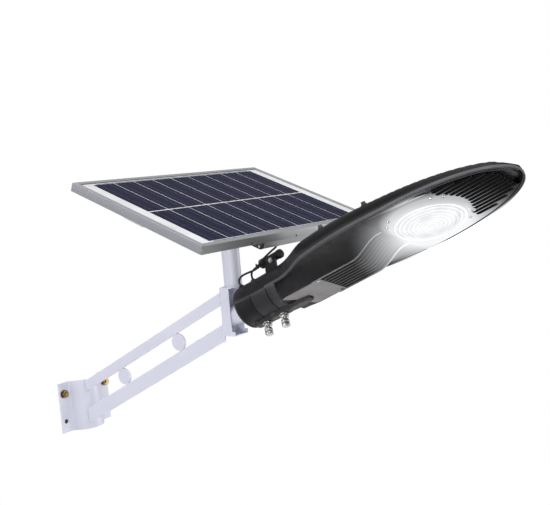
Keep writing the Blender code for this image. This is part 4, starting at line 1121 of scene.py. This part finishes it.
def build_lens_plate():
    """Leaf-shaped plate with the lens opening and long slots between cooling fins."""
    start, end = COVER_END + GAP, HEAD_LENGTH - SHELL - 3
    edge = [(s, inner_half_width(s) - 1.0) for s in closing(start, end, 40)[:-1]]
    edge += [(end, 0.0)] + [(s, -y) for s, y in edge[::-1]]
    hole = on_circle(LENS_S, 0, BEZEL_RADIUS + 0.6, range(0, 360, 5))
    slots = [slot_outline((k - (SLOT_COUNT - 1) / 2) * SLOT_PITCH) for k in range(SLOT_COUNT)]
    low = RIM_Z - GAP
    # slot walls round the lens are drawn black: a painted shade between the fins
    flat_plate("lens_plate_slotted", [edge, hole] + slots, low, low + PLATE_DEEP, 0.5, "charcoal_lit", "head",
               ("lens_plate",),
               lambda p: (p.x - LENS_S) ** 2 + p.y ** 2 > (BEZEL_RADIUS + 2) ** 2 and p.x > LENS_S
               and abs(p.y) < inner_half_width(min(p.x, end - 0.1)) - 3)
    inset = [(s, y * 0.93) for s, y in edge if s > LENS_S]
    back = LENS_S + 40.0
    outline = [(back, inset[0][1])] + [p for p in inset if p[0] > back] + [(back, -inset[0][1])]
    outline += on_circle(LENS_S, 0, BEZEL_RADIUS + 2, range(-50, 51, 10))
    floor = low + PLATE_DEEP
    # black sheet at the bottom of the slots, whose metal is charcoal: a painted shade in the deep slots
    add("fin_floor_shade", slab(outline, floor + 0.1, floor + 0.8), "black", "head", slot="charcoal", smooth=20)
    clips = bmesh.new()
    screws = bmesh.new()
    around = [quarter + turn for quarter in (45, 135, 225, 315) for turn in (-8, 8)]
    for s, y in on_circle(LENS_S, 0, CLIP_CIRCLE, around):
        place = facing((s, y, low), (0, 0, -1))
        lathe([(1.0, -0.3), (4.2, -0.3), (4.2, 1.0), (3.6, 1.6), (1.0, 1.6)], place, clips, 28)
        lathe([(0.9, 1.3), (2.5, 1.3), (2.5, 2.1), (2.0, 2.8), (1.1, 2.9), (0.9, 2.3), (0.3, 2.2)],
              place, screws, 24)
    add("lens_clips", clips, "charcoal_lit", "head")
    add("lens_clip_screws", screws, "steel", "head")


LIP_RADIUS, LIP_Z = 53.6, -22.6


def build_lens():
    """Prismatic lens dome with rings, its gasket and a rolled bezel."""
    place = Matrix.Translation((LENS_S, 0, 0))
    top = -17.7
    edge = top - 2.5
    rows = [(30.0, top), (LENS_RADIUS, top), (LENS_RADIUS, edge), (LENS_RADIUS - 3.5, edge)]
    rings = 9
    for k in range(rings):
        for part, step in ((0.0, 0.0), (0.72, -0.35)):
            t = (k + part) / rings
            turn = math.pi / 2 * t
            rows.append(((LENS_RADIUS - 4.0) * math.cos(turn) ** 0.9 + 0.4,
                         edge - 8.0 * math.sin(turn) + step))
    rows.append((1.0, edge - 8.0))
    add("lens_prisms", lathe(rows, place, count=96), "lens", "head", ("lens",), smooth=25)
    rows = [(LENS_RADIUS + 0.3, RIM_Z + 1.5), (BEZEL_RADIUS, RIM_Z + 1.5), (BEZEL_RADIUS + 1.6, RIM_Z - 0.4),
            (BEZEL_RADIUS + 1.6, RIM_Z - 1.5), (BEZEL_RADIUS, -19.2), (LENS_RADIUS + 4.2, -22.0),
            (LENS_RADIUS + 1.5, -22.7), (LENS_RADIUS - 1.4, -22.7), (LENS_RADIUS - 2.0, -22.1),
            (LENS_RADIUS - 2.0, -20.4), (LENS_RADIUS + 0.3, -20.3)]
    bm = lathe(rows + rows[:1], place, count=96)
    bmesh.ops.remove_doubles(bm, verts=bm.verts, dist=0.001)
    caps = [face for face in bm.faces if len(face.verts) > 4]
    bmesh.ops.delete(bm, geom=caps, context="FACES_ONLY")
    redo("lens_bezel", "ring", bm, "charcoal_lit", "head", smooth=30)
    lip = [Vector((s, y, LIP_Z)) for s, y in on_circle(LENS_S, 0, LIP_RADIUS, even(0, 360, 96))]
    add("lens_lip_glint", tube(lip, lambda i: 0.6 + 0.35 * math.sin(i / 5.0), 8), "glint", "head",
        smooth=60)
    dress("rubber", "lens_gasket")
    dress("mirror", "reflector")
    dress("chip", "cob_led")
    dress("mill", "heat_spreader", "led_driver", "reducer_sleeve")
    dress("zinc", "clamp_saddle")


add_camera()
FINISH = make_materials()
add_stage()
build_leads()
build_arm()
build_laminate()
build_frame()
build_box()
build_upper_housing()
build_collar()
build_driver_cover()
build_lens_plate()
build_lens()
